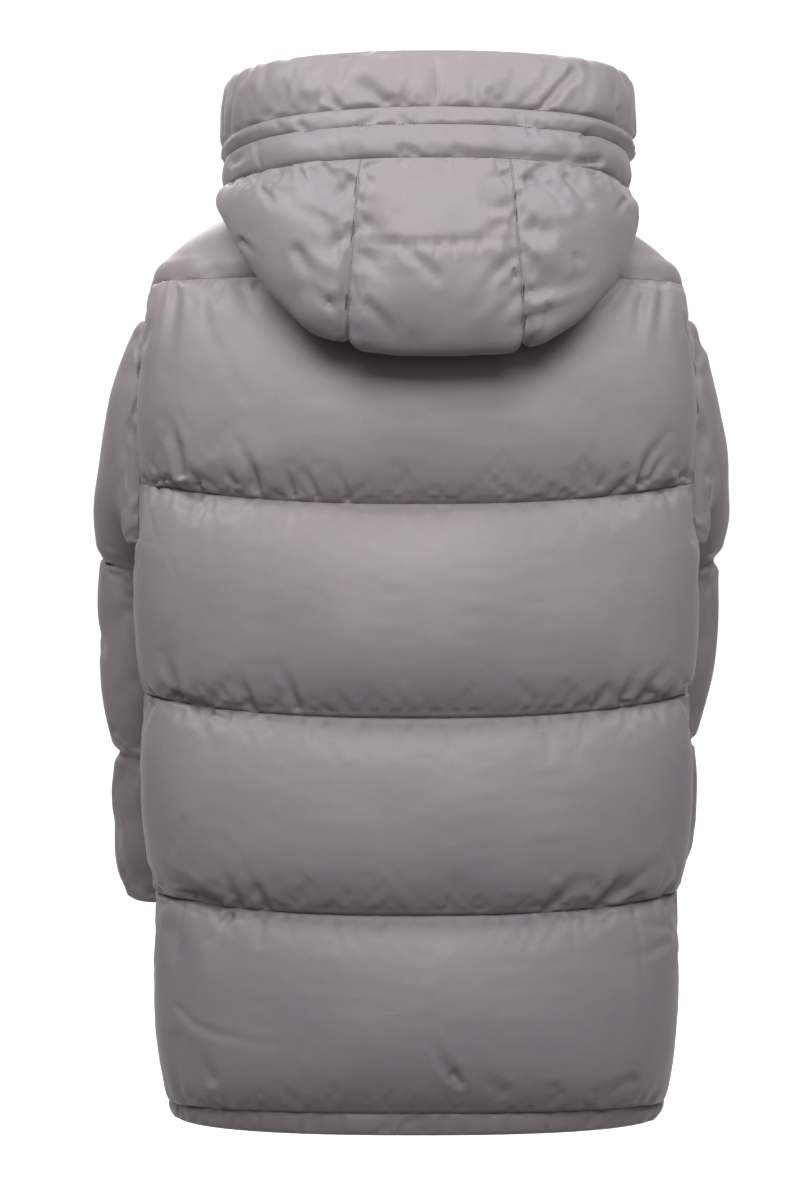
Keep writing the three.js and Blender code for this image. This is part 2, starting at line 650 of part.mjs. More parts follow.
/** The slider and its tab. In their own frame -Y is out from the coat, and the tab's bar is the origin. */
function buildSlider() {
  const halfWide = SLIDER.wide / 2;
  const halfTall = SLIDER.tall / 2;
  const plateTop = CROWN.clear / 2;
  const plateBottom = plateTop + SLIDER.plate;
  const channel = 2 * SLIDER.gap + TAPE.thick;
  const crown = CROWN.wide / 2;
  const arch = block([-crown, -plateTop - CROWN.thick, -CROWN.half], [crown, plateTop + 0.5, CROWN.half]);
  const eyeHalf = CROWN.half - CROWN.post;
  const eye = block([-CROWN.wide, -plateTop, -eyeHalf], [CROWN.wide, plateTop, eyeHalf]);
  const front = block([-halfWide, plateTop, -halfTall], [halfWide, plateBottom, halfTall]);
  const backTop = plateBottom + channel;
  const back = block([-halfWide, backTop, -halfTall], [halfWide, backTop + SLIDER.backPlate, halfTall]);
  const link = block(
    [-SLIDER.link / 2, plateBottom - 0.5, halfTall - 6],
    [SLIDER.link / 2, backTop + 0.5, halfTall],
  );
  const slider = arch.subtract(eye).add(front).add(back).add(link);
  const line = frontLine(TAPE.from);
  const y = Math.round(lineY(line, SLIDER.z) + TAPE.depth - SLIDER.gap - plateBottom);
  const step = lineY(line, SLIDER.z - halfTall) - lineY(line, SLIDER.z + halfTall);
  const lean = Math.atan(step / SLIDER.tall);
  const place = new THREE.Matrix4().makeTranslation(0, y, SLIDER.z);
  place.multiply(new THREE.Matrix4().makeRotationX(lean));
  addPiece("zip_slider", solidGeometry(slider).applyMatrix4(place), METAL);

  const [half, thick, top] = [TAB.wide / 2, TAB.thick / 2, TAB.bar / 2];
  const plate = block([-half, -thick, top - TAB.long], [half, thick, top]);
  const [windowHalf, windowTop] = [TAB.windowWide / 2, -TAB.bar / 2];
  const window = block(
    [-windowHalf, -thick - 1, windowTop - TAB.window],
    [windowHalf, thick + 1, windowTop],
  );
  const tab = plate.subtract(window);
  addPiece("zip_pull_tab", solidGeometry(tab).translate(0, y, SLIDER.z), METAL);
}

buildBody();
for (const [name, side] of [["left", 1], ["right", -1]]) {
  addPiece(`sleeve_${name}`, sleeveGeometry(side, SLEEVES[name]), SHELL_CLOTH);
}
buildHood();
buildTapes();
buildSlider();

export default coat;
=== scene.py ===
import logging
import math
from dataclasses import dataclass, field, fields
from typing import Sequence

import bpy
import numpy as np
from bpy.types import Material, Node, NodeSocket, NodeTree, Object
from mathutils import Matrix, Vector
from numpy import ndarray as Array


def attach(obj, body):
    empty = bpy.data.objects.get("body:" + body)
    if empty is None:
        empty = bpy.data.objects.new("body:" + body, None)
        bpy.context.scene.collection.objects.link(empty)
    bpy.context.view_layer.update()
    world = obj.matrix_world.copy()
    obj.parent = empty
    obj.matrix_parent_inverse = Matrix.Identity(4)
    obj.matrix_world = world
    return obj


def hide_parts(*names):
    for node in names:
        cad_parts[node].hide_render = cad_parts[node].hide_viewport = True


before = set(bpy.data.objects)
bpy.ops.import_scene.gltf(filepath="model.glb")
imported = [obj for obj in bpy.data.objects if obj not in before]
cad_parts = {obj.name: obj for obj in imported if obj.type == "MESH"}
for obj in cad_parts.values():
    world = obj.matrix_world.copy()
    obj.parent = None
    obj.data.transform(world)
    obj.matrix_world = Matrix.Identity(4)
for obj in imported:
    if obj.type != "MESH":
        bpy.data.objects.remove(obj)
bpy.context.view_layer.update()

log = logging.getLogger("coat")

COAT = "coat"  # the body that everything made here rides on
# Lengths are in millimetres up to the meshes, and the studio's are in metres.
MM = 0.001
QUARTER = math.pi / 2
WALL = 4.0  # thickness of every cloth wall
SEAM_GAP = 0.3  # clearance between two pieces at their seam
FRONT_HALF_GAP = 7.0  # half the distance between the fronts
FRONT_SQUARE = 1.8  # superellipse power of every plan in front
SAG = 1.7  # power of a ring's droop from its sides
EYE = np.array([16.0, 2925.0, -400.5])  # the camera
PLANE = 25.0  # y of the side seams, the plane in which sizes are read from behind
PHOTO_ZERO = (416.5, 185)  # the photograph's pixel at x = z = 0 on that plane
PHOTO_SCALE = 0.965  # millimetres for each of its pixels there
ROW_POINTS, COLUMN_POINTS = 241, 60  # points with which the length of cloth is measured
INNER_STEP = 9  # outer rows and columns for each one of a wall's plain inside
SHARP = math.radians(62)  # edges sharper than this aren't shaded smooth
STITCH_RISE, TUBE_STITCH_RISE = 0.6, 0.5  # height of a row of sewing over its seam


@dataclass(frozen=True)
class Ring:
    """One ring of a garment surface at seam level.

    Args:
        half: Half width.
        mid: The y of the widest point.
        back: The y behind.
        front: The y in front.
        z_side: Height at the sides.
        z_back: Height behind.
        z_front: Height in front.
        square: Superellipse power of the plan behind.
        sag: Power of the droop on the right side behind.
    """

    half: float
    mid: float
    back: float
    front: float
    z_side: float
    z_back: float
    z_front: float
    square: float = 2.4
    sag: float = SAG


BODY_RINGS = {
    "hem": Ring(231, 25, 150, -128, -896, -896, -896),
    "hemSeam": Ring(238, 25, 153, -132, -879, -875, -878),
    "skirtSeam": Ring(250, 25, 161, -138, -677, -691, -690),
    "hipSeam": Ring(261, 25, 165, -142, -488, -509, -505),
    "chestSeam": Ring(266, 25, 166, -143, -287, -312, -305),
    "blade": Ring(265, 25, 160, -141, -190, -200, -200),
    "yokeSeam": Ring(256, 23, 146, -135, -98, -100, -112),
    "shoulder": Ring(238, 20, 138, -130, -74, -76, -98),
    "slope": Ring(207, 15, 128, -125, -51, -52, -83),
    "slopeTop": Ring(166, 8, 113, -119, -30, -31, -68),
    "neckBase": Ring(122, 0, 95, -113, -12, -12, -55),
    "neck": Ring(86, -5, 78, -108, 0, 0, -45),
}
HOOD_RINGS = {
    "neck": Ring(86, -5, 78, -108, 0.7, 0.7, -44.3),
    "rise": Ring(104, 0, 106, -109, 11, 10, -38),
    "under": Ring(132, 8, 148, -110, 6, -26, -31, 2.5),
    "underLow": Ring(158, 14, 187, -112, -2, -88, -24, 2.6, 1.6),
    "lip": Ring(173, 18, 213, -114, -9, -146, -17, 2.8, 1.4),
    "bottom": Ring(182, 20, 233, -116, -18, -168, -11, 2.9, 1.3),
    "rear": Ring(187, 20, 246, -117, -21, -143, -6, 2.9, 1.3),
    "quilt": Ring(190, 20, 250, -118, -18, -82, -2, 2.7, 1.4),
    "visorSeam": Ring(190, 19, 240, -119, -10, -4, 4, 2.5),
    "casingSeam": Ring(188, 17, 231, -121, 20, 27, 17),
    "brimSeam": Ring(187, 16, 225, -122, 34, 44, 27),
    "rim": Ring(184, 13, 206, -124, 97, 98, 58),
}
BODY_SEAMS = ["hemSeam", "skirtSeam", "hipSeam", "chestSeam", "yokeSeam"]


def unit(v: Array) -> Array:
    """The vectors at length 1."""
    return v / np.maximum(np.linalg.norm(v, axis=-1, keepdims=True), 1e-9)


def distance(a: Array, b: Array) -> Array:
    """Distances between points."""
    return np.linalg.norm(a - b, axis=-1)


def run_length(points: Array) -> Array:
    """Length along lines of points whose first axis runs along them."""
    steps = distance(points[1:], points[:-1])
    return np.concatenate([np.zeros_like(steps[:1]), np.cumsum(steps, 0)])


def smoothstep(value: Array, low: float, high: float) -> Array:
    """A smooth ramp from 0 at low to 1 at high."""
    t = np.clip((value - low) / (high - low), 0, 1)
    return t * t * (3 - 2 * t)


def band(value: Array, low: float, high: float, fade: float) -> Array:
    """A smooth bump that is 1 from low to high and falls to 0 over the fade on each side."""
    return smoothstep(value, low - fade, low) * (1 - smoothstep(value, high, high + fade))


def pillow(share: Array, power: float = 0.62, low: float = 0.8) -> Array:
    """The rise of a filled baffle, 0 at both seams and fullest a little below its middle."""
    return np.maximum(np.sin(np.pi * np.clip(share, 0, 1) ** low), 0) ** power


def soft_edge(length: Array, reach: float, power: float = 0.7) -> Array:
    """The rise beside an upright seam, from 0 on it to 1 at its reach."""
    return np.sin(QUARTER * np.clip(length / reach, 0, 1)) ** power


def eased(count: int) -> Array:
    """Shares from 0 to 1 for a number of steps, closer together at both ends."""
    even = np.linspace(0, 1, count + 1)
    return 0.45 * even + 0.55 * (1 - np.cos(np.pi * even)) / 2


def hermite(
    t: Array, start: Array, slope_in: Array, end: Array, slope_out: Array
) -> Array:
    """A cubic from one value to the next.

    Args:
        t: Place on the way, from 0 to 1.
        start: Value at 0.
        slope_in: Slope at 0.
        end: Value at 1.
        slope_out: Slope at 1.

    Returns:
        The values at t.
    """
    t2, t3 = t * t, t**3
    value = (2 * t3 - 3 * t2 + 1) * start + (t3 - 2 * t2 + t) * slope_in
    return value + (3 * t2 - 2 * t3) * end + (t3 - t2) * slope_out


def spline(values: Array, knots: Array, at: Array) -> Array:
    """Smooth values at new places along the first axis.

    Args:
        values: Values at the knots.
        knots: Rising places of the values.
        at: Wanted places.

    Returns:
        The values there.
    """
    slopes = np.gradient(values, knots, axis=0)
    i = np.clip(np.searchsorted(knots, at, side="right") - 1, 0, len(knots) - 2)
    wide = (slice(None),) + (None,) * (values.ndim - 1)
    step = (knots[i + 1] - knots[i])[wide]
    t = (at - knots[i])[wide] / step
    return hermite(t, values[i], step * slopes[i], values[i + 1], step * slopes[i + 1])


class RingSurface:
    """A smooth surface through rings. A turn is 0 behind and a quarter at the wearer's left."""

    def __init__(
        self, rings: dict[str, Ring], straight_first: bool = False, lean: float = 0.0
    ) -> None:
        """Keeps the rings as one table.

        Args:
            rings: The rings from the bottom up.
            straight_first: Whether the first stretch is straight.
            lean: How far the back is drawn sideways from the sixth ring on.
        """
        self.names = list(rings)
        self.straight_first = straight_first
        self.lean = lean
        self.table = np.array([[getattr(r, f.name) for f in fields(Ring)] for r in rings.values()])

    def row(self, name: str) -> int:
        """The row of a ring."""
        return self.names.index(name)

    def columns(self, rows: Array) -> Array:
        """Reads the table between its rows.

        Args:
            rows: Fractional rows.

        Returns:
            A ring's values at those rows, with the fields of Ring on the first axis.
        """
        last = len(self.names) - 1
        rows = np.asarray(rows, float)
        i = np.clip(np.floor(rows).astype(int), 0, last - 1)
        before, start, end, after = (self.table[np.clip(i + k, 0, last)] for k in (-1, 0, 1, 2))
        slope_in = np.where((i == 0)[..., None], end - start, (end - before) / 2)
        straight = (i + 1 == last) | (self.straight_first & (i == 0))
        slope_out = np.where(straight[..., None], end - start, (after - start) / 2)
        return np.moveaxis(hermite((rows - i)[..., None], start, slope_in, end, slope_out), -1, 0)

    def points(self, rows: Array, turns: Array) -> Array:
        """Points of the surface.

        Args:
            rows: Fractional rows of the table.
            turns: Turns in radians, of the same shape or one that spreads with it.

        Returns:
            The points, with x, y and z last.
        """
        rows, turns = np.broadcast_arrays(rows, turns)
        half, mid, back, front, z_side, z_back, z_front, square, sag = self.columns(rows)
        c, s = np.cos(turns), np.sin(turns)
        behind = c >= 0
        power = 2 / np.where(behind, square, FRONT_SQUARE)
        drop = np.where(behind & (s < 0), sag, SAG)
        x = half * np.sign(s) * np.abs(s) ** power
        x = x + self.lean * smoothstep(rows, 0, 5) * (1 + c) / 2
        y = mid + (np.where(behind, back, front) - mid) * np.abs(c) ** power
        z = z_side + (np.where(behind, z_back, z_front) - z_side) * np.abs(c) ** drop
        return np.stack([x, y, z], -1)

    def frames(self, rows: Array, turns: Array) -> tuple[Array, Array, Array]:
        """Directions of the surface.

        Args:
            rows: Fractional rows.
            turns: Turns in radians.

        Returns:
            At each point the outward normal, the direction up the rows and the one round them.
        """
        rows, turns = np.broadcast_arrays(rows, turns)
        step = 0.02
        along = self.points(rows + step, turns) - self.points(rows - step, turns)
        around = self.points(rows, turns + step) - self.points(rows, turns - step)
        return unit(np.cross(along, around)), unit(along), unit(around)

    def line_turn(self, rows: Array, x: float) -> Array:
        """The turn of a line in front at a distance x to the left of the middle."""
        return math.pi - np.arcsin((x / self.columns(rows)[0]) ** (FRONT_SQUARE / 2))

    def front_edge(self, rows: Array) -> Array:
        """The turn of the left edge beside the zip."""
        return self.line_turn(rows, FRONT_HALF_GAP)

    def even_turns(
        self, rows: Array, start: Array, end: Array, count: int
    ) -> tuple[Array, Array]:
        """Turns with equal lengths of cloth between them.

        Args:
            rows: Fractional rows.
            start: Each row's first turn.
            end: Each row's last turn.
            count: Number of lengths.

        Returns:
            The turns, and each one's length of cloth from the first.
        """
        spread = start[:, None] + (end - start)[:, None] * np.linspace(0, 1, ROW_POINTS)
        length = run_length(np.moveaxis(self.points(rows[:, None], spread), 1, 0)).T
        arcs = np.array([np.linspace(0, row[-1], count + 1) for row in length])
        return np.array([np.interp(*row) for row in zip(arcs, length, spread)]), arcs


BODY = RingSurface(BODY_RINGS, straight_first=True)
HOOD = RingSurface(HOOD_RINGS, lean=-16.0)


@dataclass
class Grid:
    """A cloth piece's seam-level points in rows and columns, with what its relief needs.

    Args:
        points: Seam-level points.
        normals: Outward normals.
        along: Unit directions up the columns.
        around: Unit directions along the rows.
        arcs: Length of each point from the row's first edge.
        seams: Row numbers of the stitched lines, ends included.
        closed: True for a tube.
        height: Rise of the outside over seam level.
        offset: What the simulated cloth adds to it.
        floor: The least rise.
        rise_length: Length of each point from the column's lowest.
        total: Length of each row.
    """

    points: Array
    normals: Array
    along: Array
    around: Array
    arcs: Array
    seams: list[int]
    closed: bool = False
    height: Array = field(init=False)
    offset: Array = field(init=False)
    floor: Array | float = 0.0
    rise_length: Array = field(init=False)
    total: Array = field(init=False)

    def __post_init__(self) -> None:
        """Starts with no relief."""
        self.height = np.zeros(self.points.shape[:2])
        self.offset = np.zeros_like(self.points)
        self.rise_length = run_length(self.points)
        self.total = np.broadcast_to(1e6 if self.closed else self.arcs[:, -1:], self.arcs.shape)

    @property
    def to_side(self) -> Array:
        """Length to the nearer upright edge."""
        return np.minimum(self.arcs, self.total - self.arcs)

    def baffles(self) -> list[tuple[slice, Array, Array]]:
        """Lists the baffles.

        Returns:
            For each its rows, and the lengths from its low seam and to its high seam.
        """
        found = []
        for low, high in zip(self.seams, self.seams[1:]):
            rows = slice(low, high + 1)
            length = self.rise_length[rows]
            found.append((rows, length - length[0], length[-1] - length))
        return found

    def raised(self) -> Array:
        """The outer points."""
        return self.points + self.normals * self.height[..., None] + self.offset

    def seen(self) -> tuple[Array, Array]:
        """Where each raised point shows from behind.

        Returns:
            Its x and z on the plane of sizes.
        """
        at = self.raised()
        scale = (EYE[1] - PLANE) / (EYE[1] - at[..., 1])
        return EYE[0] + (at[..., 0] - EYE[0]) * scale, EYE[2] + (at[..., 2] - EYE[2]) * scale

    def thinned(self, step: int) -> tuple[Array, Array]:
        """Picks a coarser grid that keeps the stitched lines and the edges.

        Args:
            step: Rows and columns for each one kept.

        Returns:
            The numbers of its rows and columns.
        """
        n, m = self.height.shape
        columns = [*range(0, m, step), *([] if self.closed else [m - 1])]
        return np.unique([*range(0, n, step), *self.seams]), np.unique(columns)

    def sewing(self) -> list[Array]:
        """Lines for the sewing between baffles.

        Returns:
            A line over each seam, all round on a tube and short of the upright edges otherwise.
        """
        m = self.height.shape[1]
        columns, rise = [*range(2, m - 2)], STITCH_RISE
        if self.closed:
            columns, rise = [*range(m), 0], TUBE_STITCH_RISE
        return [self.points[s, columns] + rise * self.normals[s, columns] for s in self.seams[1:-1]]

    def inside(self, flat_first: bool, flat_last: bool) -> tuple[Array, Array, Array]:
        """The plain inside of the wall.

        Args:
            flat_first: Whether the first row is cut level.
            flat_last: Whether the last row is.

        Returns:
            Its points, and the numbers of the outer rows and columns that they lie under.
        """
        rows, columns = self.thinned(INNER_STEP)
        normals = self.normals[rows][:, columns].copy()
        for number, flat in ((0, flat_first), (-1, flat_last)):
            if flat:
                normals[number, :, 2] = 0
                normals[number] = unit(normals[number])
        return self.points[rows][:, columns] - WALL * normals, rows, columns

    def seam_shift(self) -> Array:
        """Half the seam gap, inwards from each edge.

        Returns:
            How far each point moves.
        """
        shift = np.zeros_like(self.points)
        for edge, inwards in ((0, SEAM_GAP / 2), (-1, -SEAM_GAP / 2)):
            shift[edge] += self.along[edge] * inwards
            if not self.closed:
                shift[:, edge] += self.around[:, edge] * inwards
        return shift

    def settle(self) -> None:
        """Keeps the outside at its floor on every edge and never under seam level."""
        side = np.ones_like(self.arcs) if self.closed else np.clip(self.to_side / 3, 0, 1)
        to_end = np.minimum(self.rise_length, self.rise_length[-1] - self.rise_length)
        ends = np.clip(to_end / 2, 0, 1)
        out = np.sum(self.offset * self.normals, -1)
        above = (np.maximum(self.height + out, 0) - self.floor) * side * ends
        self.height = above + self.floor - out


def row_places(
    surface: RingSurface, seams: Sequence[str], spacing: float
) -> tuple[Array, list[int]]:
    """Rows between stitched lines, closer together beside them.

    Args:
        surface: The surface.
        seams: Names of the rings with stitched lines, ends included.
        spacing: Wanted distance between rows.

    Returns:
        The fractional rows, and the numbers of those on the stitched lines.
    """
    places, marks = [np.array([float(surface.row(seams[0]))])], [0]
    for low, high in zip(seams, seams[1:]):
        fine = np.linspace(surface.row(low), surface.row(high), COLUMN_POINTS)
        both = [run_length(surface.points(fine, turn)) for turn in (0.0, QUARTER)]
        length = np.mean(both, axis=0)
        count = max(int(round(length[-1] / spacing)), 3)
        places.append(np.interp(eased(count) * length[-1], length, fine)[1:])
        marks.append(marks[-1] + count)
    return np.concatenate(places), marks


def ring_grid(
    surface: RingSurface, rows: Array, seams: list[int], start: Array, end: Array, count: int
) -> Grid:
    """A grid between two upright edges of a ring surface.

    Args:
        surface: The surface.
        rows: Fractional rows.
        seams: Numbers of the rows with stitched lines.
        start: Each row's first turn.
        end: Each row's last turn.
        count: Number of columns, less one.

    Returns:
        The grid.
    """
    turns, arcs = surface.even_turns(rows, start, end, count)
    across = np.broadcast_to(rows[:, None], turns.shape)
    normals, along, around = surface.frames(across, turns)
    points = surface.points(across, turns)
    return Grid(points, normals, along, around * np.sign(end[0] - start[0]), arcs, seams)


def quads(ids: Array) -> Array:
    """The faces between a grid of point numbers."""
    return np.stack([ids[:-1, :-1], ids[:-1, 1:], ids[1:, 1:], ids[1:, :-1]], -1).reshape(-1, 4)


def turned_in(points: Array, outward: Array) -> bool:
    """Whether the middle face of a grid of points looks away from an outward direction."""
    i, j = points.shape[0] // 2, points.shape[1] // 2
    return np.cross(points[i, j + 1] - points[i, j], points[i + 1, j] - points[i, j]) @ outward < 0


def add_object(name: str, data: bpy.types.ID) -> Object:
    """A new object in the scene.

    Args:
        name: Its name.
        data: Its mesh, light or camera.

    Returns:
        The object.
    """
    obj = bpy.data.objects.new(name, data)
    bpy.context.scene.collection.objects.link(obj)
    return obj


def add_mesh(name: str, points: list, edges: list, faces: list) -> Object:
    """A new mesh object.

    Args:
        name: Its name and its mesh's.
        points: Points in metres.
        edges: Loose edges.
        faces: Faces.

    Returns:
        The object.
    """
    mesh = bpy.data.meshes.new(name)
    mesh.from_pydata(points, edges, faces)
    return add_object(name, mesh)


QUIET_ENDS = (0.3, 0.8)  # shares of the half width over which the quiet middle fades out
CLOTH_SETTINGS = {
    "quality": 4,
    "mass": 0.12,
    "tension_stiffness": 12,
    "compression_stiffness": 12,
    "shear_stiffness": 4,
    "use_pressure": True,
}


@dataclass(frozen=True)
class PressureCloth:
    """Blows a grid's outside up as cloth that its seams hold.

    Args:
        pressure: Pressure inside.
        slack: Share by which the cloth is longer than its place.
        quiet: Share of the slack that the middle third lacks.
        bending: How stiffly it bends.
        frames: Steps of the simulation.
        cap: Furthest that a point may move.
        mesh: Rows and columns of the grid for one of the cloth's.
    """

    pressure: float = 3.0
    slack: float = 0.03
    quiet: float = 0.7
    bending: float = 0.3
    frames: int = 20
    cap: float = 9.0
    mesh: int = 3

    def blow(self, grid: Grid) -> None:
        """Sets a grid's offset to how far the cloth moved.

        Args:
            grid: The grid.
        """
        n, m = grid.height.shape
        rows, columns = grid.thinned(self.mesh)
        start = grid.raised()[rows][:, columns]
        moved = self.simulate(grid, start, np.isin(rows, grid.seams)) - start
        length = np.linalg.norm(moved, axis=-1, keepdims=True)
        moved *= np.tanh(length / self.cap) * self.cap / np.maximum(length, 1e-6)
        if grid.closed:
            moved = np.concatenate([moved[:, -2:], moved, moved[:, :2]], 1)
            columns = np.concatenate([columns[-2:] - m, columns, columns[:2] + m])
        across = spline(np.moveaxis(moved, 1, 0), columns.astype(float), np.arange(m, dtype=float))
        across = np.moveaxis(across, 0, 1)
        for low, high in zip(grid.seams, grid.seams[1:]):
            near = (rows >= low) & (rows <= high)
            at = np.arange(low, high + 1.0)
            grid.offset[low : high + 1] = spline(across[near], rows[near].astype(float), at)

    def simulate(self, grid: Grid, start: Array, is_seam: Array) -> Array:
        """Runs the cloth.

        Args:
            grid: The grid that it lies on.
            start: The cloth's points in rows.
            is_seam: For each row, whether it is held.

        Returns:
            The points at the end.
        """
        n, m = start.shape[:2]
        ids = np.arange(n * m).reshape(n, m)
        held = np.zeros((n, m), bool)
        held[is_seam] = True
        if grid.closed:
            ids = np.concatenate([ids, ids[:, :1]], 1)
        else:
            held[:, [0, -1]] = True
        faces = quads(ids)
        if turned_in(start, grid.normals[grid.normals.shape[0] // 2, grid.normals.shape[1] // 2]):
            faces = faces[:, ::-1]
        obj = add_mesh("blown", (start.reshape(-1, 3) * MM).tolist(), [], faces.tolist())
        obj.vertex_groups.new(name="held").add(np.flatnonzero(held).tolist(), 1.0, "REPLACE")
        middle = obj.vertex_groups.new(name="quiet")
        for column, weight in enumerate(1 - smoothstep(np.abs(np.linspace(-1, 1, m)), *QUIET_ENDS)):
            if weight > 0 and not grid.closed:
                middle.add(ids[:, column].tolist(), float(weight), "REPLACE")
        cloth = obj.modifiers.new("cloth", "CLOTH")
        settings = cloth.settings
        for key, value in CLOTH_SETTINGS.items():
            setattr(settings, key, value)
        settings.bending_stiffness = self.bending
        settings.vertex_group_mass = "held"
        settings.shrink_min = -self.slack
        settings.shrink_max = -self.slack * (1 - self.quiet)
        settings.vertex_group_shrink = "quiet"
        settings.uniform_pressure_force = self.pressure
        settings.effector_weights.gravity = 0
        cloth.point_cache.frame_end = self.frames
        for number in range(1, self.frames + 1):
            bpy.context.scene.frame_set(number)
        made = obj.evaluated_get(bpy.context.evaluated_depsgraph_get()).data
        points = np.empty(len(made.vertices) * 3)
        made.vertices.foreach_get("co", points)
        mesh = obj.data
        bpy.data.objects.remove(obj)
        bpy.data.meshes.remove(mesh)
        bpy.context.scene.frame_set(1)
        return points.reshape(n, m, 3) / MM


@dataclass(frozen=True)
class Waves:
    """Soft unevenness made of a few waves in random directions.

    Args:
        length: Wave length.
        rise: Height.
        seed: Seed of the directions.
        count: Number of waves.
    """

    length: float
    rise: float
    seed: int
    count: int = 10

    def at(self, points: Array) -> Array:
        """Adds the waves up.

        Args:
            points: Where.

        Returns:
            The height at each point.
        """
        rng = np.random.default_rng(self.seed)
        total = np.zeros(points.shape[:-1])
        for _ in range(self.count):
            way = unit(rng.normal(size=3)) * 2 * np.pi / (self.length * rng.uniform(0.7, 1.5))
            total += np.sin(points @ way + rng.uniform(0, 2 * np.pi))
        return self.rise * total / math.sqrt(self.count)


@dataclass(frozen=True)
class Puckers:
    """Short pulls that run out of a stitched line on both of its sides.

    Args:
        apart: Mean distance between them.
        reach: Their length.
        width: Their half width.
        depth: Their depth.
        seed: Seed of their places.
        quiet_middle: Share by which they fade away from the edges' outer third.
    """

    apart: float
    reach: float
    width: float
    depth: float
    seed: int
    quiet_middle: float = 0.0

    def add(
        self, grid: Grid, rows: slice, off_seam: Array, place: int, upright: bool = False
    ) -> None:
        """Presses the pulls of one side of one line into a grid.

        Args:
            grid: The grid.
            rows: The baffle's rows.
            off_seam: Each point's distance from the line.
            place: Number of the line, which varies the pulls.
            upright: Whether the line is an upright edge.
        """
        rng = np.random.default_rng(self.seed * 100 + place)
        arcs = grid.rise_length if upright else grid.arcs[rows]
        longest = float(arcs.max())
        for _ in range(int(longest / self.apart)):
            at, lean = rng.uniform(0, longest), rng.normal(0, 0.28)
            reach, width = self.reach * rng.lognormal(0, 0.45), self.width * rng.lognormal(0, 0.35)
            outer = smoothstep(np.array(abs(at / longest - 0.5) * 2), 0.35, 0.8)
            depth = self.depth * rng.uniform(0.35, 1.2) * (1 - self.quiet_middle * (1 - outer))
            off = arcs - (at + lean * off_seam + 0.12 * width * np.sin(off_seam / 9))
            if grid.closed:
                off = (off + longest / 2) % longest - longest / 2
            across = (off / (width * (1 + 0.6 * off_seam / reach))) ** 2
            shape = (1 - 0.55 * across) * np.exp(-0.5 * across)
            shape = shape * np.exp(-((off_seam / reach) ** 1.5))
            grid.height[rows] -= depth * shape * smoothstep(off_seam, 0, 5)


CREASE_STRENGTH = 1.5  # all creases are this much deeper than their tables say


@dataclass(frozen=True)
class Crease:
    """One fold placed on what shows from behind.

    Args:
        path: x and z of its points on the plane of sizes, from its deep end.
        width: Half width.
        depth: Depth.
        fade: Share of the depth left at its far end.
    """

    path: tuple[tuple[float, float], ...]
    width: float
    depth: float
    fade: float = 0.15

    def press(self, grid: Grid, x: Array, z: Array) -> None:
        """Presses the crease into the points that lie near it.

        Args:
            grid: The grid.
            x: Where its points show.
            z: The same upwards.
        """
        line = np.array(self.path, float)
        lengths = run_length(line)
        near, share = np.full(x.shape, 1e9), np.zeros(x.shape)
        for k, (a, b) in enumerate(zip(line, line[1:])):
            way = b - a
            t = np.clip(((x - a[0]) * way[0] + (z - a[1]) * way[1]) / max(way @ way, 1e-9), 0, 1)
            off = np.hypot(x - a[0] - t * way[0], z - a[1] - t * way[1])
            place = (lengths[k] + t * (lengths[k + 1] - lengths[k])) / lengths[-1]
            share = np.where(off < near, place, share)
            near = np.minimum(near, off)
        across = (near / (self.width * (1 + 0.5 * share))) ** 2
        shape = (1 - 0.5 * across) * np.exp(-0.5 * across)
        left = 1 + (self.fade - 1) * smoothstep(share, 0.1, 1.0)
        grid.height -= CREASE_STRENGTH * self.depth * shape * left


def creases(*rows: tuple) -> tuple[Crease, ...]:
    """Makes creases from rows that were read off the photograph.

    Args:
        rows: For each the path in the photograph's pixels, and then what Crease takes.

    Returns:
        The creases on the plane of sizes.
    """
    x0, y0 = PHOTO_ZERO
    made = []
    for pixels, *sizes in rows:
        path = tuple(((x0 - x) * PHOTO_SCALE, (y0 - y) * PHOTO_SCALE) for x, y in pixels)
        made.append(Crease(path, *sizes))
    return tuple(made)


def press_all(grid: Grid, folds: Sequence[Crease]) -> None:
    """Presses creases into a grid, all placed on the same view of it.

    Args:
        grid: The grid.
        folds: The creases.
    """
    x, z = grid.seen()
    for fold in folds:
        fold.press(grid, x, z)


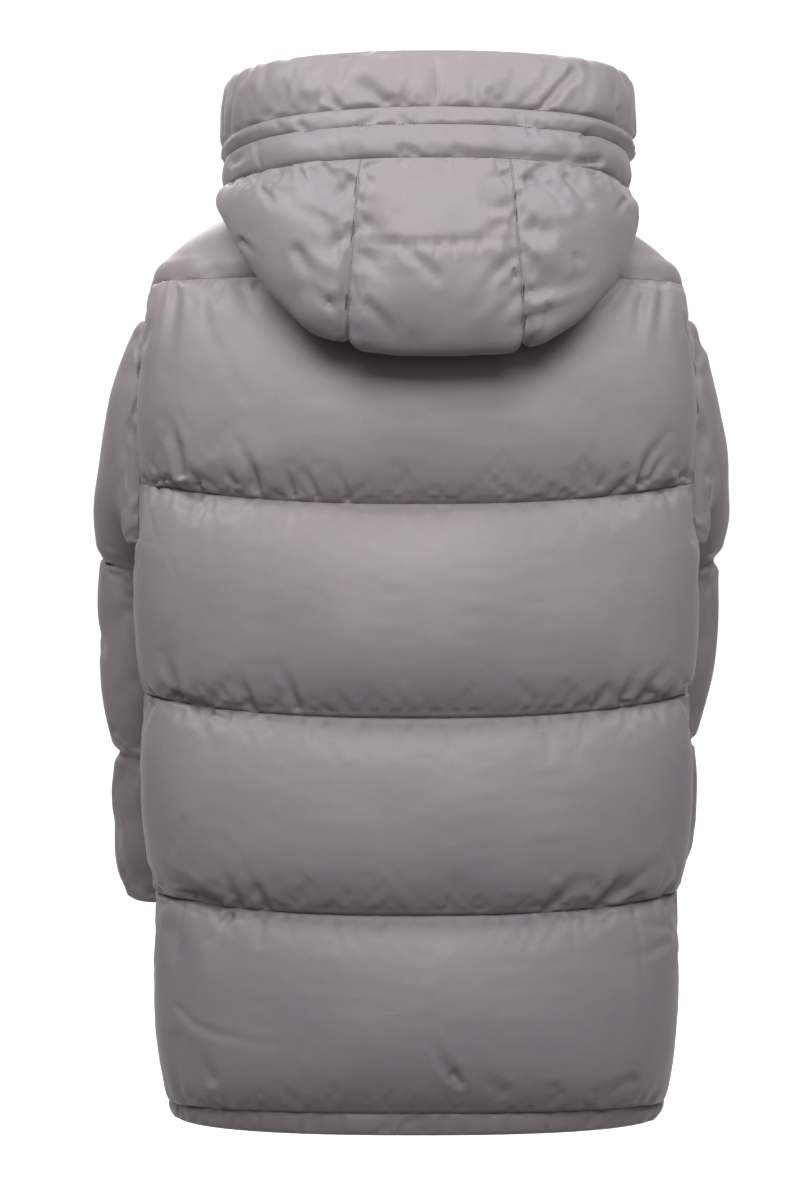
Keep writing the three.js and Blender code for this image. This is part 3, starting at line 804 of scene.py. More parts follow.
@dataclass(frozen=True)
class Filling:
    """How a cloth piece is filled.

    Args:
        puff: Rise of each baffle, low one first.
        edge: Distance from an upright edge to the full rise.
        power: How square the baffles' profile is.
        edge_power: How slowly it rises beside an upright edge.
        calm_edge: Distance over which the cloth's own movement starts from an upright edge.
        cloth: The simulated cloth over it.
        puckers: Pulls along the stitched lines.
        side_puckers: Pulls along the upright edges.
        waves: Soft unevenness over all.
    """

    puff: tuple[float, ...]
    edge: float
    power: float = 0.62
    edge_power: float = 0.7
    calm_edge: float = 12.0
    cloth: PressureCloth | None = None
    puckers: tuple[Puckers, ...] = ()
    side_puckers: tuple[Puckers, ...] = ()
    waves: tuple[Waves, ...] = ()

    def fill(self, grid: Grid, free: Array | float = 1.0, joined: Array | float = 0.0) -> None:
        """Raises a grid's outside.

        Args:
            grid: The grid.
            free: Share of the rise that neighbours leave room for.
            joined: Rise that stays on an upright edge, where the neighbour has the same.
        """
        side = np.ones_like(grid.arcs)
        if not grid.closed:
            side = soft_edge(grid.to_side, self.edge, self.edge_power)
        uneven = sum((w.at(grid.points) for w in self.waves), np.zeros_like(grid.height))
        for (rows, low, high), puff in zip(grid.baffles(), self.puff):
            shape = pillow(low / np.maximum(low + high, 1e-6), self.power)
            rise = puff * shape * side[rows]
            grid.height[rows] = rise + uneven[rows] * np.minimum(shape, side[rows])
        grid.height = grid.height * free + joined * (1 - side)
        grid.floor = joined * (1 - side)
        if self.cloth:
            self.cloth.blow(grid)
            if not grid.closed:
                grid.offset *= smoothstep(grid.to_side, 0, self.calm_edge)[..., None]
        for number, (rows, low, high) in enumerate(grid.baffles()):
            for kind in self.puckers:
                kind.add(grid, rows, low, 2 * number)
                kind.add(grid, rows, high, 2 * number + 1)
        for kind in self.side_puckers:
            kind.add(grid, slice(None), grid.arcs, 50, upright=True)
            kind.add(grid, slice(None), grid.total - grid.arcs, 51, upright=True)


def wall_mesh(grid: Grid, name: str, flat_first: bool, flat_last: bool) -> Object:
    """A closed wall between a grid's outside and its coarser plain inside.

    Args:
        grid: The finished grid.
        name: Object name.
        flat_first: Whether the first row is cut level.
        flat_last: Whether the last row is.

    Returns:
        The object, smooth shaded.
    """
    shift = grid.seam_shift()
    inner, rows, columns = grid.inside(flat_first, flat_last)
    outer, inner = grid.raised() + shift, inner + shift[rows][:, columns]
    (n, m), (k, j) = outer.shape[:2], inner.shape[:2]
    ids_out = np.arange(n * m).reshape(n, m)
    ids_in = n * m + np.arange(k * j).reshape(k, j)
    rows, columns = list(rows), list(columns)
    if grid.closed:
        ids_out, ids_in = (np.concatenate([ids, ids[:, :1]], 1) for ids in (ids_out, ids_in))
        columns = columns + [m]
    faces = [tuple(f) for f in quads(ids_out).tolist()]
    faces += [tuple(f[::-1]) for f in quads(ids_in).tolist()]

    def bridge(coarse: Array, fine: Array, marks: list[int], flip: bool) -> None:
        """Closes the rim between an inner edge and the outer one above it.

        Args:
            coarse: Point numbers along the inner edge.
            fine: The same along the outer edge.
            marks: For each inner point, the place of the outer one over it.
            flip: Whether the faces turn the other way.
        """
        for a, b, low, high in zip(coarse, coarse[1:], marks, marks[1:]):
            rim = (int(a), *fine[low : high + 1].tolist(), int(b))
            faces.append(rim[::-1] if flip else rim)

    bridge(ids_in[0], ids_out[0], columns, False)
    bridge(ids_in[-1], ids_out[-1], columns, True)
    if not grid.closed:
        bridge(ids_in[:, 0], ids_out[:, 0], rows, True)
        bridge(ids_in[:, -1], ids_out[:, -1], rows, False)
    if turned_in(outer, outer[n // 2, m // 2] - inner[k // 2, j // 2]):
        faces = [f[::-1] for f in faces]
    points = np.concatenate([outer.reshape(-1, 3), inner.reshape(-1, 3)]) * MM
    obj = add_mesh(name, points.tolist(), [], faces)
    obj.data.update()
    obj.data.shade_smooth()
    obj.data.set_sharp_from_angle(angle=SHARP)
    return obj


def cloth_piece(
    name: str,
    grid: Grid,
    material: Material,
    flat_first: bool = False,
    flat_last: bool = False,
) -> None:
    """Args:
        name: The CAD node it stands for, and its own name with _cloth after it.
        grid: The grid.
        material: Its cloth.
        flat_first: Whether its first row is cut level.
        flat_last: Whether its last row is cut level.
    """
    grid.settle()
    obj = wall_mesh(grid, f"{name}_cloth", flat_first, flat_last)
    obj.data.materials.append(material)
    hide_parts(name)
    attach(obj, COAT)
    log.info("%s: %d faces", name, len(obj.data.polygons))


@dataclass(frozen=True)
class ClothFinish:
    """How a cloth looks. Colours are linear.

    Args:
        name: Material name.
        base: Main colour.
        tint: Colour of its faint warm patches and its sheen.
        roughness: Roughness.
        sheen: Sheen weight.
        specular: Specular level.
        threads: Threads to the metre.
        crinkle: Share of the fine crinkles in the height.
        bump: Depth of the relief in metres.
    """

    name: str
    base: tuple[float, float, float]
    tint: tuple[float, float, float]
    roughness: float
    sheen: float
    specular: float
    threads: float
    crinkle: float
    bump: float


@dataclass(frozen=True)
class MetalFinish:
    """How a metal looks.

    Args:
        name: Material name.
        base: Its colour, linear.
        roughness: Roughness.
    """

    name: str
    base: tuple[float, float, float]
    roughness: float


SHELL = ClothFinish(
    "shell_nylon", (0.284, 0.257, 0.271), (0.314, 0.270, 0.286), 0.5, 0.22, 0.38, 1400, 0.75, 0.0006
)
HEM_SHELL = ClothFinish(
    "hem_nylon", (0.250, 0.218, 0.232), (0.28, 0.235, 0.25), 0.5, 0.1, 0.4, 1400, 0.8, 0.0007
)
THREAD = ClothFinish(
    "thread", (0.150, 0.128, 0.138), (0.17, 0.14, 0.15), 0.6, 0.1, 0.3, 4000, 0.2, 0.0001
)
TAPE_CLOTH = ClothFinish(
    "zip_tape_cloth", (0.160, 0.142, 0.150), (0.18, 0.15, 0.16), 0.75, 0.2, 0.3, 900, 0.1, 0.0004
)
SLIDER_METAL = MetalFinish("slider_metal", (0.30, 0.29, 0.295), 0.32)
TOOTH_METAL = MetalFinish("tooth_metal", (0.24, 0.23, 0.235), 0.4)
# Scale, share and distortion of each size of crinkle.
CRINKLES = ((38, 0.62, 1.4), (110, 0.28, 0.8), (420, 0.10, 0.0))
THREAD_RELIEF = 0.03  # height of the threads beside that of the crinkles


Inputs = dict[str | int, object]
Sockets = dict[str, NodeSocket]


def set_inputs(tree: NodeTree, node: Node, inputs: Inputs) -> None:
    """Sets or links a node's inputs.

    Args:
        tree: Its tree.
        node: The node.
        inputs: For each input, by name or number, its value or the socket that it takes.
    """
    for key, value in inputs.items():
        if isinstance(value, NodeSocket):
            tree.links.new(value, node.inputs[key])
        else:
            node.inputs[key].default_value = value


def add_node(tree: NodeTree, kind: str, inputs: Inputs | None = None, **settings: object) -> Node:
    """Adds a node to a tree.

    Args:
        tree: The tree.
        kind: Type of the node.
        inputs: Its inputs, as set_inputs takes them.
        settings: Its own settings, which come first.

    Returns:
        The node.
    """
    node = tree.nodes.new(kind)
    for key, value in settings.items():
        setattr(node, key, value)
    set_inputs(tree, node, inputs or {})
    return node


def new_group(
    name: str, kind: str, inputs: dict[str, str], outputs: dict[str, str]
) -> tuple[NodeTree, Sockets, Node]:
    """An empty node group.

    Args:
        name: Its name.
        kind: Shader or Geometry.
        inputs: Kind of each input, by its label.
        outputs: Kind of each output.

    Returns:
        The group, its inputs' sockets by label, and its output node.
    """
    tree = bpy.data.node_groups.new(name, f"{kind}NodeTree")
    for way, sockets in (("INPUT", inputs), ("OUTPUT", outputs)):
        for label, socket in sockets.items():
            tree.interface.new_socket(label, in_out=way, socket_type=f"NodeSocket{socket}")
    into = tree.nodes.new("NodeGroupInput")
    return tree, {label: into.outputs[label] for label in inputs}, tree.nodes.new("NodeGroupOutput")


def weave_group() -> NodeTree:
    """Height of a plain weave with crinkles over it, in object coordinates.

    Returns:
        The group.
    """
    sockets = {"Place": "Vector", "Threads": "Float", "Crinkle": "Float"}
    tree, into, out = new_group("cloth_weave", "Shader", sockets, {"Height": "Float"})

    def calc(operation: str, *values: object) -> NodeSocket:
        """The result of one sum."""
        inputs = dict(enumerate(values))
        return add_node(tree, "ShaderNodeMath", inputs, operation=operation).outputs[0]

    split = add_node(tree, "ShaderNodeSeparateXYZ", {0: into["Place"]}).outputs
    waves = []
    for side in (calc("ADD", split["X"], split["Y"]), split["Z"]):
        turns = calc("MULTIPLY", side, into["Threads"])
        waves.append(calc("SINE", calc("MULTIPLY", turns, math.pi)))
    crinkles = None
    for scale, share, twist in CRINKLES:
        noise = {"Vector": into["Place"], "Scale": scale, "Detail": 2, "Distortion": twist}
        part = calc("MULTIPLY", add_node(tree, "ShaderNodeTexNoise", noise).outputs["Fac"], share)
        crinkles = part if crinkles is None else calc("ADD", crinkles, part)
    crinkles = calc("MULTIPLY", crinkles, into["Crinkle"])
    threads = calc("MULTIPLY", *waves)
    set_inputs(tree, out, {"Height": calc("MULTIPLY_ADD", threads, THREAD_RELIEF, crinkles)})
    return tree


def mottle_group() -> NodeTree:
    """A base colour with broad faint patches of a second tint and a finer unevenness.

    Returns:
        The group.
    """
    sockets = {"Place": "Vector", "Base": "Color", "Tint": "Color"}
    tree, into, out = new_group("cloth_mottle", "Shader", sockets, {"Colour": "Color"})

    def spread(noise: dict[str, float], limits: dict[str, float]) -> NodeSocket:
        """A noise over the place, brought between limits."""
        noise = {"Vector": into["Place"], **noise}
        made = add_node(tree, "ShaderNodeTexNoise", noise).outputs["Fac"]
        limits = {"Value": made, **limits}
        return add_node(tree, "ShaderNodeMapRange", limits).outputs["Result"]

    broad = {"Scale": 7, "Detail": 3, "Distortion": 0.6}
    patch = spread(broad, {"From Min": 0.42, "From Max": 0.66})
    level = spread({"Scale": 260, "Detail": 3}, {"To Min": 0.95, "To Max": 1.05})
    mix = {"Factor": patch, "A": into["Base"], "B": into["Tint"]}
    mix = add_node(tree, "ShaderNodeMix", mix, data_type="RGBA")
    shade = {"Factor": 1.0, "A": mix.outputs["Result"], "B": level}
    shade = add_node(tree, "ShaderNodeMix", shade, data_type="RGBA", blend_type="MULTIPLY")
    set_inputs(tree, out, {"Colour": shade.outputs["Result"]})
    return tree


def new_material(name: str) -> tuple[Material, NodeTree, Node]:
    """A material with nodes.

    Args:
        name: Its name.

    Returns:
        The material, its tree and its Principled shader.
    """
    mat = bpy.data.materials.new(name)
    mat.use_nodes = True
    return mat, mat.node_tree, mat.node_tree.nodes["Principled BSDF"]


class Materials:
    """Every material of the coat."""

    def __init__(self) -> None:
        """Builds the groups that the materials share."""
        self.weave = weave_group()
        self.mottle = mottle_group()

    def cloth(self, finish: ClothFinish) -> Material:
        """A fine cloth with a weave, crinkles and a slow change of tint.

        Args:
            finish: Its looks.

        Returns:
            The material.
        """
        mat, tree, shader = new_material(finish.name)
        place = add_node(tree, "ShaderNodeTexCoord").outputs["Object"]
        base, tint = (*finish.base, 1), (*finish.tint, 1)
        mottle = {"Place": place, "Base": base, "Tint": tint}
        mottle = add_node(tree, "ShaderNodeGroup", mottle, node_tree=self.mottle)
        weave = {"Place": place, "Threads": finish.threads, "Crinkle": finish.crinkle}
        weave = add_node(tree, "ShaderNodeGroup", weave, node_tree=self.weave)
        bump = {"Strength": 1.0, "Distance": finish.bump, "Height": weave.outputs["Height"]}
        looks = {
            "Base Color": mottle.outputs["Colour"],
            "Roughness": finish.roughness,
            "Sheen Weight": finish.sheen,
            "Sheen Roughness": 0.45,
            "Sheen Tint": tint,
            "Specular IOR Level": finish.specular,
            "Normal": add_node(tree, "ShaderNodeBump", bump).outputs["Normal"],
        }
        set_inputs(tree, shader, looks)
        return mat

    def metal(self, finish: MetalFinish) -> Material:
        """A satin metal with fine scratches in its roughness.

        Args:
            finish: Its looks.

        Returns:
            The material.
        """
        mat, tree, shader = new_material(finish.name)
        place = add_node(tree, "ShaderNodeTexCoord").outputs["Object"]
        noise = add_node(tree, "ShaderNodeTexNoise", {"Vector": place, "Scale": 900, "Detail": 4})
        limits = {"To Min": finish.roughness - 0.08, "To Max": finish.roughness + 0.12}
        limits["Value"] = noise.outputs["Fac"]
        rough = add_node(tree, "ShaderNodeMapRange", limits).outputs["Result"]
        looks = {"Base Color": (*finish.base, 1), "Metallic": 1.0, "Roughness": rough}
        set_inputs(tree, shader, looks)
        return mat


def lay_pieces(tree: NodeTree, into: Sockets, out: Node, spread: Inputs) -> None:
    """Ends a geometry group: one piece on each point, made real and given the group's material.

    Args:
        tree: The group.
        into: Its inputs.
        out: Its output node.
        spread: Inputs of the node that lays the pieces.
    """
    laid = add_node(tree, "GeometryNodeInstanceOnPoints", spread).outputs["Instances"]
    real = add_node(tree, "GeometryNodeRealizeInstances", {"Geometry": laid}).outputs["Geometry"]
    paint = {"Geometry": real, "Material": into["Material"]}
    paint = add_node(tree, "GeometryNodeSetMaterial", paint)
    set_inputs(tree, out, {"Geometry": paint.outputs["Geometry"]})


def grow(name: str, lines: Sequence[Array], tree: NodeTree, values: dict[str, object]) -> None:
    """Runs a geometry group on open lines and keeps the result as a plain mesh of the coat.

    Args:
        name: Name of the piece.
        lines: Each line's points.
        tree: The group.
        values: Its inputs.
    """
    points, edges = [], []
    for line in lines:
        edges.extend((len(points) + i, len(points) + i + 1) for i in range(len(line) - 1))
        points.extend((line * MM).tolist())
    obj = add_mesh(name, points, edges, [])
    modifier = obj.modifiers.new(tree.name, "NODES")
    modifier.node_group = tree
    for item in tree.interface.items_tree:
        if item.item_type == "SOCKET" and item.in_out == "INPUT" and item.name in values:
            modifier[item.identifier] = values[item.name]
    made = bpy.data.meshes.new_from_object(obj.evaluated_get(bpy.context.evaluated_depsgraph_get()))
    old = obj.data
    obj.modifiers.clear()
    obj.data = made
    bpy.data.meshes.remove(old)
    made.name = name
    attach(obj, COAT)
    log.info("%s: %d faces", name, len(made.polygons))


@dataclass
class Stitching:
    """Rows of sewing made from lines by one node group.

    Args:
        material: The thread.
        pitch: Distance between stitches in metres.
        length: Length of one stitch.
        radius: Half its thickness.
        group: The group.
    """

    material: Material
    pitch: float = 0.0034
    length: float = 0.0025
    radius: float = 0.00035
    group: NodeTree = field(init=False)

    def __post_init__(self) -> None:
        """Builds the group that lays stitches along a mesh's edges."""
        sockets = {"Geometry": "Geometry", "Pitch": "Float", "Length": "Float", "Radius": "Float"}
        sockets["Material"] = "Material"
        tree, into, out = new_group("stitch_rows", "Geometry", sockets, {"Geometry": "Geometry"})
        curve = add_node(tree, "GeometryNodeMeshToCurve", {"Mesh": into["Geometry"]})
        even = {"Curve": curve.outputs["Curve"], "Length": into["Pitch"]}
        even = add_node(tree, "GeometryNodeResampleCurve", even, mode="LENGTH")
        tangent = add_node(tree, "GeometryNodeInputTangent").outputs["Tangent"]
        align = add_node(tree, "FunctionNodeAlignRotationToVector", {"Vector": tangent}, axis="Z")
        grain = {"Segments": 6, "Rings": 4, "Radius": 1.0}
        grain = add_node(tree, "GeometryNodeMeshUVSphere", grain)
        half = add_node(tree, "ShaderNodeMath", {0: into["Length"], 1: 0.5}, operation="MULTIPLY")
        size = {"X": into["Radius"], "Y": into["Radius"], "Z": half.outputs[0]}
        size = add_node(tree, "ShaderNodeCombineXYZ", size)
        spread = {"Points": even.outputs["Curve"], "Instance": grain.outputs["Mesh"]}
        spread |= {"Rotation": align.outputs["Rotation"], "Scale": size.outputs[0]}
        lay_pieces(tree, into, out, spread)
        self.group = tree

    def sew(self, name: str, lines: Sequence[Array]) -> None:
        """Sews along lines.

        Args:
            name: The piece that they are on.
            lines: Each line's points.
        """
        values = {"Pitch": self.pitch, "Length": self.length, "Radius": self.radius}
        grow(f"{name}_stitches", lines, self.group, values | {"Material": self.material})


# The armhole is an oval on the body's side, with its ends at two heights and a reach each way.
ARMHOLE_TOP, ARMHOLE_BOTTOM, ARMHOLE_BEHIND, ARMHOLE_BEFORE = -130.0, -345.0, 15.0, 112.0
ARMHOLE_MIDDLE = (ARMHOLE_TOP + ARMHOLE_BOTTOM) / 2
ARMHOLE_REACH = (ARMHOLE_TOP - ARMHOLE_BOTTOM) / 2
SLEEVE_INSET = 0.985  # size of the sleeve's end beside the armhole's
ROW_RISE = 110  # about how far the body rises from one ring to the next
TURN_ROUNDS, ROW_ROUNDS = 6, 12  # rounds in which a turn and a row are found


def turn_at_reach(rows: Array, before: Array, share: Array) -> Array:
    """The turn that lies at a share of the armhole's reach from the side seam.

    Args:
        rows: Fractional rows of the body.
        before: 1 before the side seam and -1 behind it.
        share: Share of the reach.

    Returns:
        The turns.
    """
    _, mid, back, front, *_, square, _ = BODY.columns(rows)
    wide = share * np.where(before > 0, ARMHOLE_BEFORE, ARMHOLE_BEHIND)
    end = np.where(before > 0, front, back)
    power = np.where(before > 0, FRONT_SQUARE, square) / 2
    return QUARTER + before * np.arcsin(np.minimum(wide / np.abs(end - mid), 1) ** power)


def armhole_turn(rows: Array, before: int) -> Array:
    """The turn at which body rows meet the armhole's edge, found by going round a few times.

    Args:
        rows: Fractional rows.
        before: 1 before the side seam and -1 behind it.

    Returns:
        The turns.
    """
    turn = np.full(rows.shape, QUARTER)
    for _ in range(TURN_ROUNDS):
        height = (BODY.points(rows, turn)[..., 2] - ARMHOLE_MIDDLE) / ARMHOLE_REACH
        share = np.sqrt(np.maximum(1 - height**2, 0))
        turn = turn_at_reach(rows, np.full(rows.shape, float(before)), share)
    return turn


def pressed_by_sleeve(points: Array) -> Array:
    """How far a sleeve flattens the front beside it.

    Args:
        points: Points of the front.

    Returns:
        The share of the rise that is lost.
    """
    turns = np.abs(np.arctan2(points[..., 0], points[..., 1] - PLANE))
    beside = band(turns, math.radians(88), math.radians(140), math.radians(14))
    return 0.9 * beside * band(points[..., 2], -760, -330, 60)


@dataclass
class CoatBody:
    """The back, yoke, fronts and hem bands.

    Args:
        shell: The shell cloth.
        hem: The hem's cloth.
        stitching: The sewing.
    """

    shell: Material
    hem: Material
    stitching: Stitching

    def build(self) -> None:
        """Builds every piece of the body."""
        self.build_back()
        self.build_yoke()
        self.build_fronts()
        self.build_hems()

    def build_back(self) -> None:
        """The quilted back of four baffles."""
        rows, seams = row_places(BODY, BODY_SEAMS, spacing=2.7)
        edge = armhole_turn(rows, -1)
        grid = ring_grid(BODY, rows, seams, -edge, edge, count=290)
        BACK_FILL.fill(grid)
        press_all(grid, BACK_CREASES)
        cloth_piece("back", grid, self.shell)
        self.stitching.sew("back", grid.sewing())

    def build_yoke(self) -> None:
        """The back yoke over the shoulders."""
        rows, seams = row_places(BODY, ["yokeSeam", "neck"], spacing=4.0)
        edge = armhole_turn(rows, -1)
        grid = ring_grid(BODY, rows, seams, -edge, edge, count=160)
        YOKE_FILL.fill(grid)
        press_all(grid, YOKE_CREASES)
        cloth_piece("back_yoke", grid, self.shell, flat_last=True)

    def build_fronts(self) -> None:
        """Two plain fronts with the back's quilting lines."""
        for name, side in (("front_left", 1.0), ("front_right", -1.0)):
            rows, seams = row_places(BODY, [*BODY_SEAMS, "neck"], spacing=4.5)
            start, end = side * armhole_turn(rows, 1), side * BODY.front_edge(rows)
            grid = ring_grid(BODY, rows, seams, start, end, count=90)
            FRONT_FILL.fill(grid, 1 - pressed_by_sleeve(grid.points))
            cloth_piece(name, grid, self.shell, flat_last=True)
            self.stitching.sew(name, grid.sewing())

    def build_hems(self) -> None:
        """The narrow bands along the bottom."""
        rows, seams = row_places(BODY, ["hem", "hemSeam"], spacing=2.0)
        quarter, front = np.full(rows.shape, QUARTER), BODY.front_edge(rows)
        for name, start, end, count, folds in (
            ("hem_back", -quarter, quarter, 260, HEM_CREASES),
            ("hem_front_left", quarter, front, 110, ()),
            ("hem_front_right", -quarter, -front, 110, ()),
        ):
            grid = ring_grid(BODY, rows, seams, start, end, count)
            HEM_FILL.fill(grid)
            press_all(grid, folds)
            cloth_piece(name, grid, self.hem)


@dataclass(frozen=True)
class Section:
    """One section of a sleeve, with its angles in degrees.

    Args:
        x: Middle's distance from the centre.
        y: Middle's y.
        z: Middle's height.
        thick: Half thickness of the flat tube.
        wide: Half width.
        turn: Turn of the width away from the body's side.
        rear_down: How far the rear hangs.
        out_up: How far the outside is raised.
    """

    x: float
    y: float
    z: float
    thick: float
    wide: float
    turn: float
    rear_down: float
    out_up: float

    def axes(self, side: float) -> tuple[Array, Array, Array]:
        """Directions of the section.

        Args:
            side: 1 at the wearer's left, -1 at the right.

        Returns:
            Unit directions out from the body, to the rear and down the sleeve.
        """
        turn = math.radians(self.turn)
        rise, drop = (math.tan(math.radians(a)) for a in (self.out_up, self.rear_down))
        out = unit(np.array([side * math.cos(turn), -math.sin(turn), rise]))
        rear = np.array([side * math.sin(turn), math.cos(turn), -drop])
        rear = unit(rear - out * (rear @ out))
        down = np.cross(rear, out)
        return out, rear, down if down[2] < 0 else -down

    def points(self, side: float, angles: Array) -> Array:
        """Points round the section.

        Args:
            side: 1 at the wearer's left, -1 at the right.
            angles: 0 on the outside and a quarter at the rear.

        Returns:
            The points.
        """
        out, rear, _ = self.axes(side)
        ways = np.cos(angles)[..., None], np.sin(angles)[..., None]
        c, s = (np.sign(way) * np.abs(way) ** 0.9 for way in ways)
        middle = np.array([side * self.x, self.y, self.z])
        return middle + out * self.thick * c + rear * self.wide * s


@dataclass
class Sleeve:
    """One sleeve as a tube of three baffles.

    Args:
        name: left or right.
        side: 1 at the wearer's left, -1 at the right.
        sections: Elbow seam, forearm seam and cuff.
        folds: Creases that show from behind.
        columns: Points round it.
        rows: Rows of each baffle, from the armhole down.
    """

    name: str
    side: float
    sections: tuple[Section, Section, Section]
    folds: tuple[Crease, ...]
    columns: int = 150
    rows: tuple[int, int, int] = (74, 62, 48)

    def armhole(self, angles: Array) -> tuple[Array, Array]:
        """The sleeve's end on the body.

        Args:
            angles: 0 at the armhole's top.

        Returns:
            Points of the armhole's edge, and the body's normals there.
        """
        z = ARMHOLE_MIDDLE + SLEEVE_INSET * ARMHOLE_REACH * np.cos(angles)
        before = np.where(np.sin(angles) > 0, -1.0, 1.0)
        fine = np.linspace(0, len(BODY.names) - 1, 2000)
        rows = np.interp(z, BODY.columns(fine)[4], fine)
        for _ in range(ROW_ROUNDS):
            turns = turn_at_reach(rows, before, SLEEVE_INSET * np.abs(np.sin(angles)))
            rows = rows + (z - BODY.points(rows, turns)[..., 2]) / ROW_RISE
        return BODY.points(rows, self.side * turns), BODY.frames(rows, self.side * turns)[0]

    def cloth(self, angles: Array, places: Array) -> Array:
        """Seam-level cloth.

        Args:
            angles: Angles round the sleeve.
            places: 0 at the armhole, and 1, 2 and 3 at the sections.

        Returns:
            The points.
        """
        angles, places = np.broadcast_arrays(angles, np.clip(places, 0, 3))
        rings = [s.points(self.side, angles) for s in self.sections]
        point, normal = self.armhole(angles)
        length = distance(point, rings[0])[..., None]
        under = np.maximum(-np.cos(angles), 0)[..., None]
        slope_in = normal * ((0.2 + 0.3 * under) * length + 20 + 86 * under)
        slope_out = self.sections[0].axes(self.side)[2] * 0.9 * length
        at = places[..., None]
        upper = hermite(np.clip(at, 0, 1), point + 0.5 * normal, slope_in, rings[0], slope_out)
        middle = rings[0] + (rings[1] - rings[0]) * (at - 1)
        lower = rings[1] + (rings[2] - rings[1]) * (at - 2)
        return np.where(at <= 1, upper, np.where(at <= 2, middle, lower))

    def build(self, material: Material, stitching: Stitching) -> None:
        """Builds the sleeve.

        Args:
            material: Its cloth.
            stitching: The sewing.
        """
        places, seams = [np.array([0.0])], [0]
        for k, count in enumerate(self.rows):
            places.append(k + eased(count)[1:])
            seams.append(seams[-1] + count)
        places = np.concatenate(places)[::-1].copy()
        seams = [len(places) - 1 - s for s in seams][::-1]
        a, p = np.meshgrid(np.linspace(0, 2 * np.pi, self.columns, endpoint=False), places)
        points = self.cloth(a, p)
        around = unit(self.cloth(a + 0.03, p) - self.cloth(a - 0.03, p))
        along = unit(self.cloth(a, p - 0.02) - self.cloth(a, p + 0.02))
        normals = unit(np.cross(along, around)) * -self.side
        steps = distance(points, np.roll(points, 1, 1))
        arcs = np.cumsum(steps, 1) - steps[:, :1]
        grid = Grid(points, normals, along, around, arcs, seams, closed=True)
        SLEEVE_FILL.fill(grid, 0.2 + 0.8 * smoothstep(np.cos(a), -0.75, 0.1))
        press_all(grid, self.folds)
        cloth_piece(f"sleeve_{self.name}", grid, material)
        stitching.sew(f"sleeve_{self.name}", grid.sewing())


HOOD_CENTRE_TURN = math.radians(16)  # half the turn that the centre strip takes up
HOOD_JOINED_RISE = 10.0  # the bag's rise on the seams beside its centre strip
SIDE_SWELL = (8.0, 12.0)  # how far band and brim stand out on the coat's left and right
BRIM_LAP = 0.0007  # turn by which each half of the brim laps over the middle


@dataclass
class Hood:
    """The hood that lies back: bag, band and brim.

    Args:
        shell: Its cloth.
        stitching: The sewing.
    """

    shell: Material
    stitching: Stitching

    def build(self) -> None:
        """Builds every piece of the hood."""
        self.build_bag()
        self.build_band()
        self.build_brim()

    def build_bag(self) -> None:
        """The centre strip and two sides."""
        rows, seams = row_places(HOOD, ["neck", "underLow", "visorSeam"], spacing=2.0)
        turn = np.full(rows.shape, HOOD_CENTRE_TURN)
        low, high = HOOD.row("underLow"), HOOD.row("visorSeam")
        joined = HOOD_JOINED_RISE * pillow((rows - low) / (high - low), 0.6)[:, None]
        sides = (("hood_centre", 0.0), ("hood_side_left", 1.0), ("hood_side_right", -1.0))
        for name, side in sides:
            if side == 0:
                grid = ring_grid(HOOD, rows, seams, -turn, turn, count=100)
                HOOD_CENTRE_FILL.fill(grid, joined=joined)
            else:
                edge = side * HOOD.front_edge(rows)
                grid = ring_grid(HOOD, rows, seams, side * turn, edge, count=240)
                behind = smoothstep(grid.points[..., 1], -60, 160)
                HOOD_SIDE_FILL.fill(grid, 0.45 + 0.55 * behind, joined * (grid.arcs < 60))
            press_all(grid, HOOD_CREASES)
            cloth_piece(name, grid, self.shell, flat_first=True)
            if side == 0:
                top, out = slice(seams[1], None), grid.raised() + grid.normals * 0.4
                self.stitching.sew(name, [out[top, 1], out[top, -2]])

    def swell(self, grid: Grid, rows: Array) -> None:
        """Lets band and brim stand straight up at the sides instead of tucking in at their seams.

        Args:
            grid: The filled grid.
            rows: Its fractional rows.
        """
        sideways = smoothstep(np.abs(grid.normals[..., 0]), 0.25, 1.0)
        rise = smoothstep(rows, HOOD.row("visorSeam"), HOOD.row("brimSeam"))
        to_rim = np.clip((HOOD.row("rim") - rows) / 0.15, 0, 1)
        rise = rise * (0.3 + 0.7 * np.sqrt(1 - (1 - to_rim) ** 2))
        stand = np.where(grid.points[..., 0] > 0, *SIDE_SWELL) * sideways * rise[:, None]
        grid.height += stand
        grid.floor = grid.floor + stand

    def build_band(self) -> None:
        """The narrow band between bag and brim, with its stitched channel."""
        rows, seams = row_places(HOOD, ["visorSeam", "casingSeam", "brimSeam"], spacing=2.4)
        edge = HOOD.front_edge(rows)
        grid = ring_grid(HOOD, rows, seams, -edge, edge, count=420)
        BAND_FILL.fill(grid)
        self.swell(grid, rows)
        press_all(grid, BAND_CREASES)
        cloth_piece("hood_band", grid, self.shell)
        self.stitching.sew("hood_band", grid.sewing())

    def build_brim(self) -> None:
        """The tall brim in two halves."""
        rows, seams = row_places(HOOD, ["brimSeam", "rim"], spacing=2.4)
        start, end = np.full(rows.shape, -BRIM_LAP), HOOD.front_edge(rows)
        for name, side in (("brim_left", 1.0), ("brim_right", -1.0)):
            grid = ring_grid(HOOD, rows, seams, side * start, side * end, count=210)
            BRIM_FILL.fill(grid, 0.35 + 0.65 * smoothstep(grid.points[..., 1], 20, 170))
            self.swell(grid, rows)
            press_all(grid, BRIM_CREASES)
            cloth_piece(name, grid, self.shell)


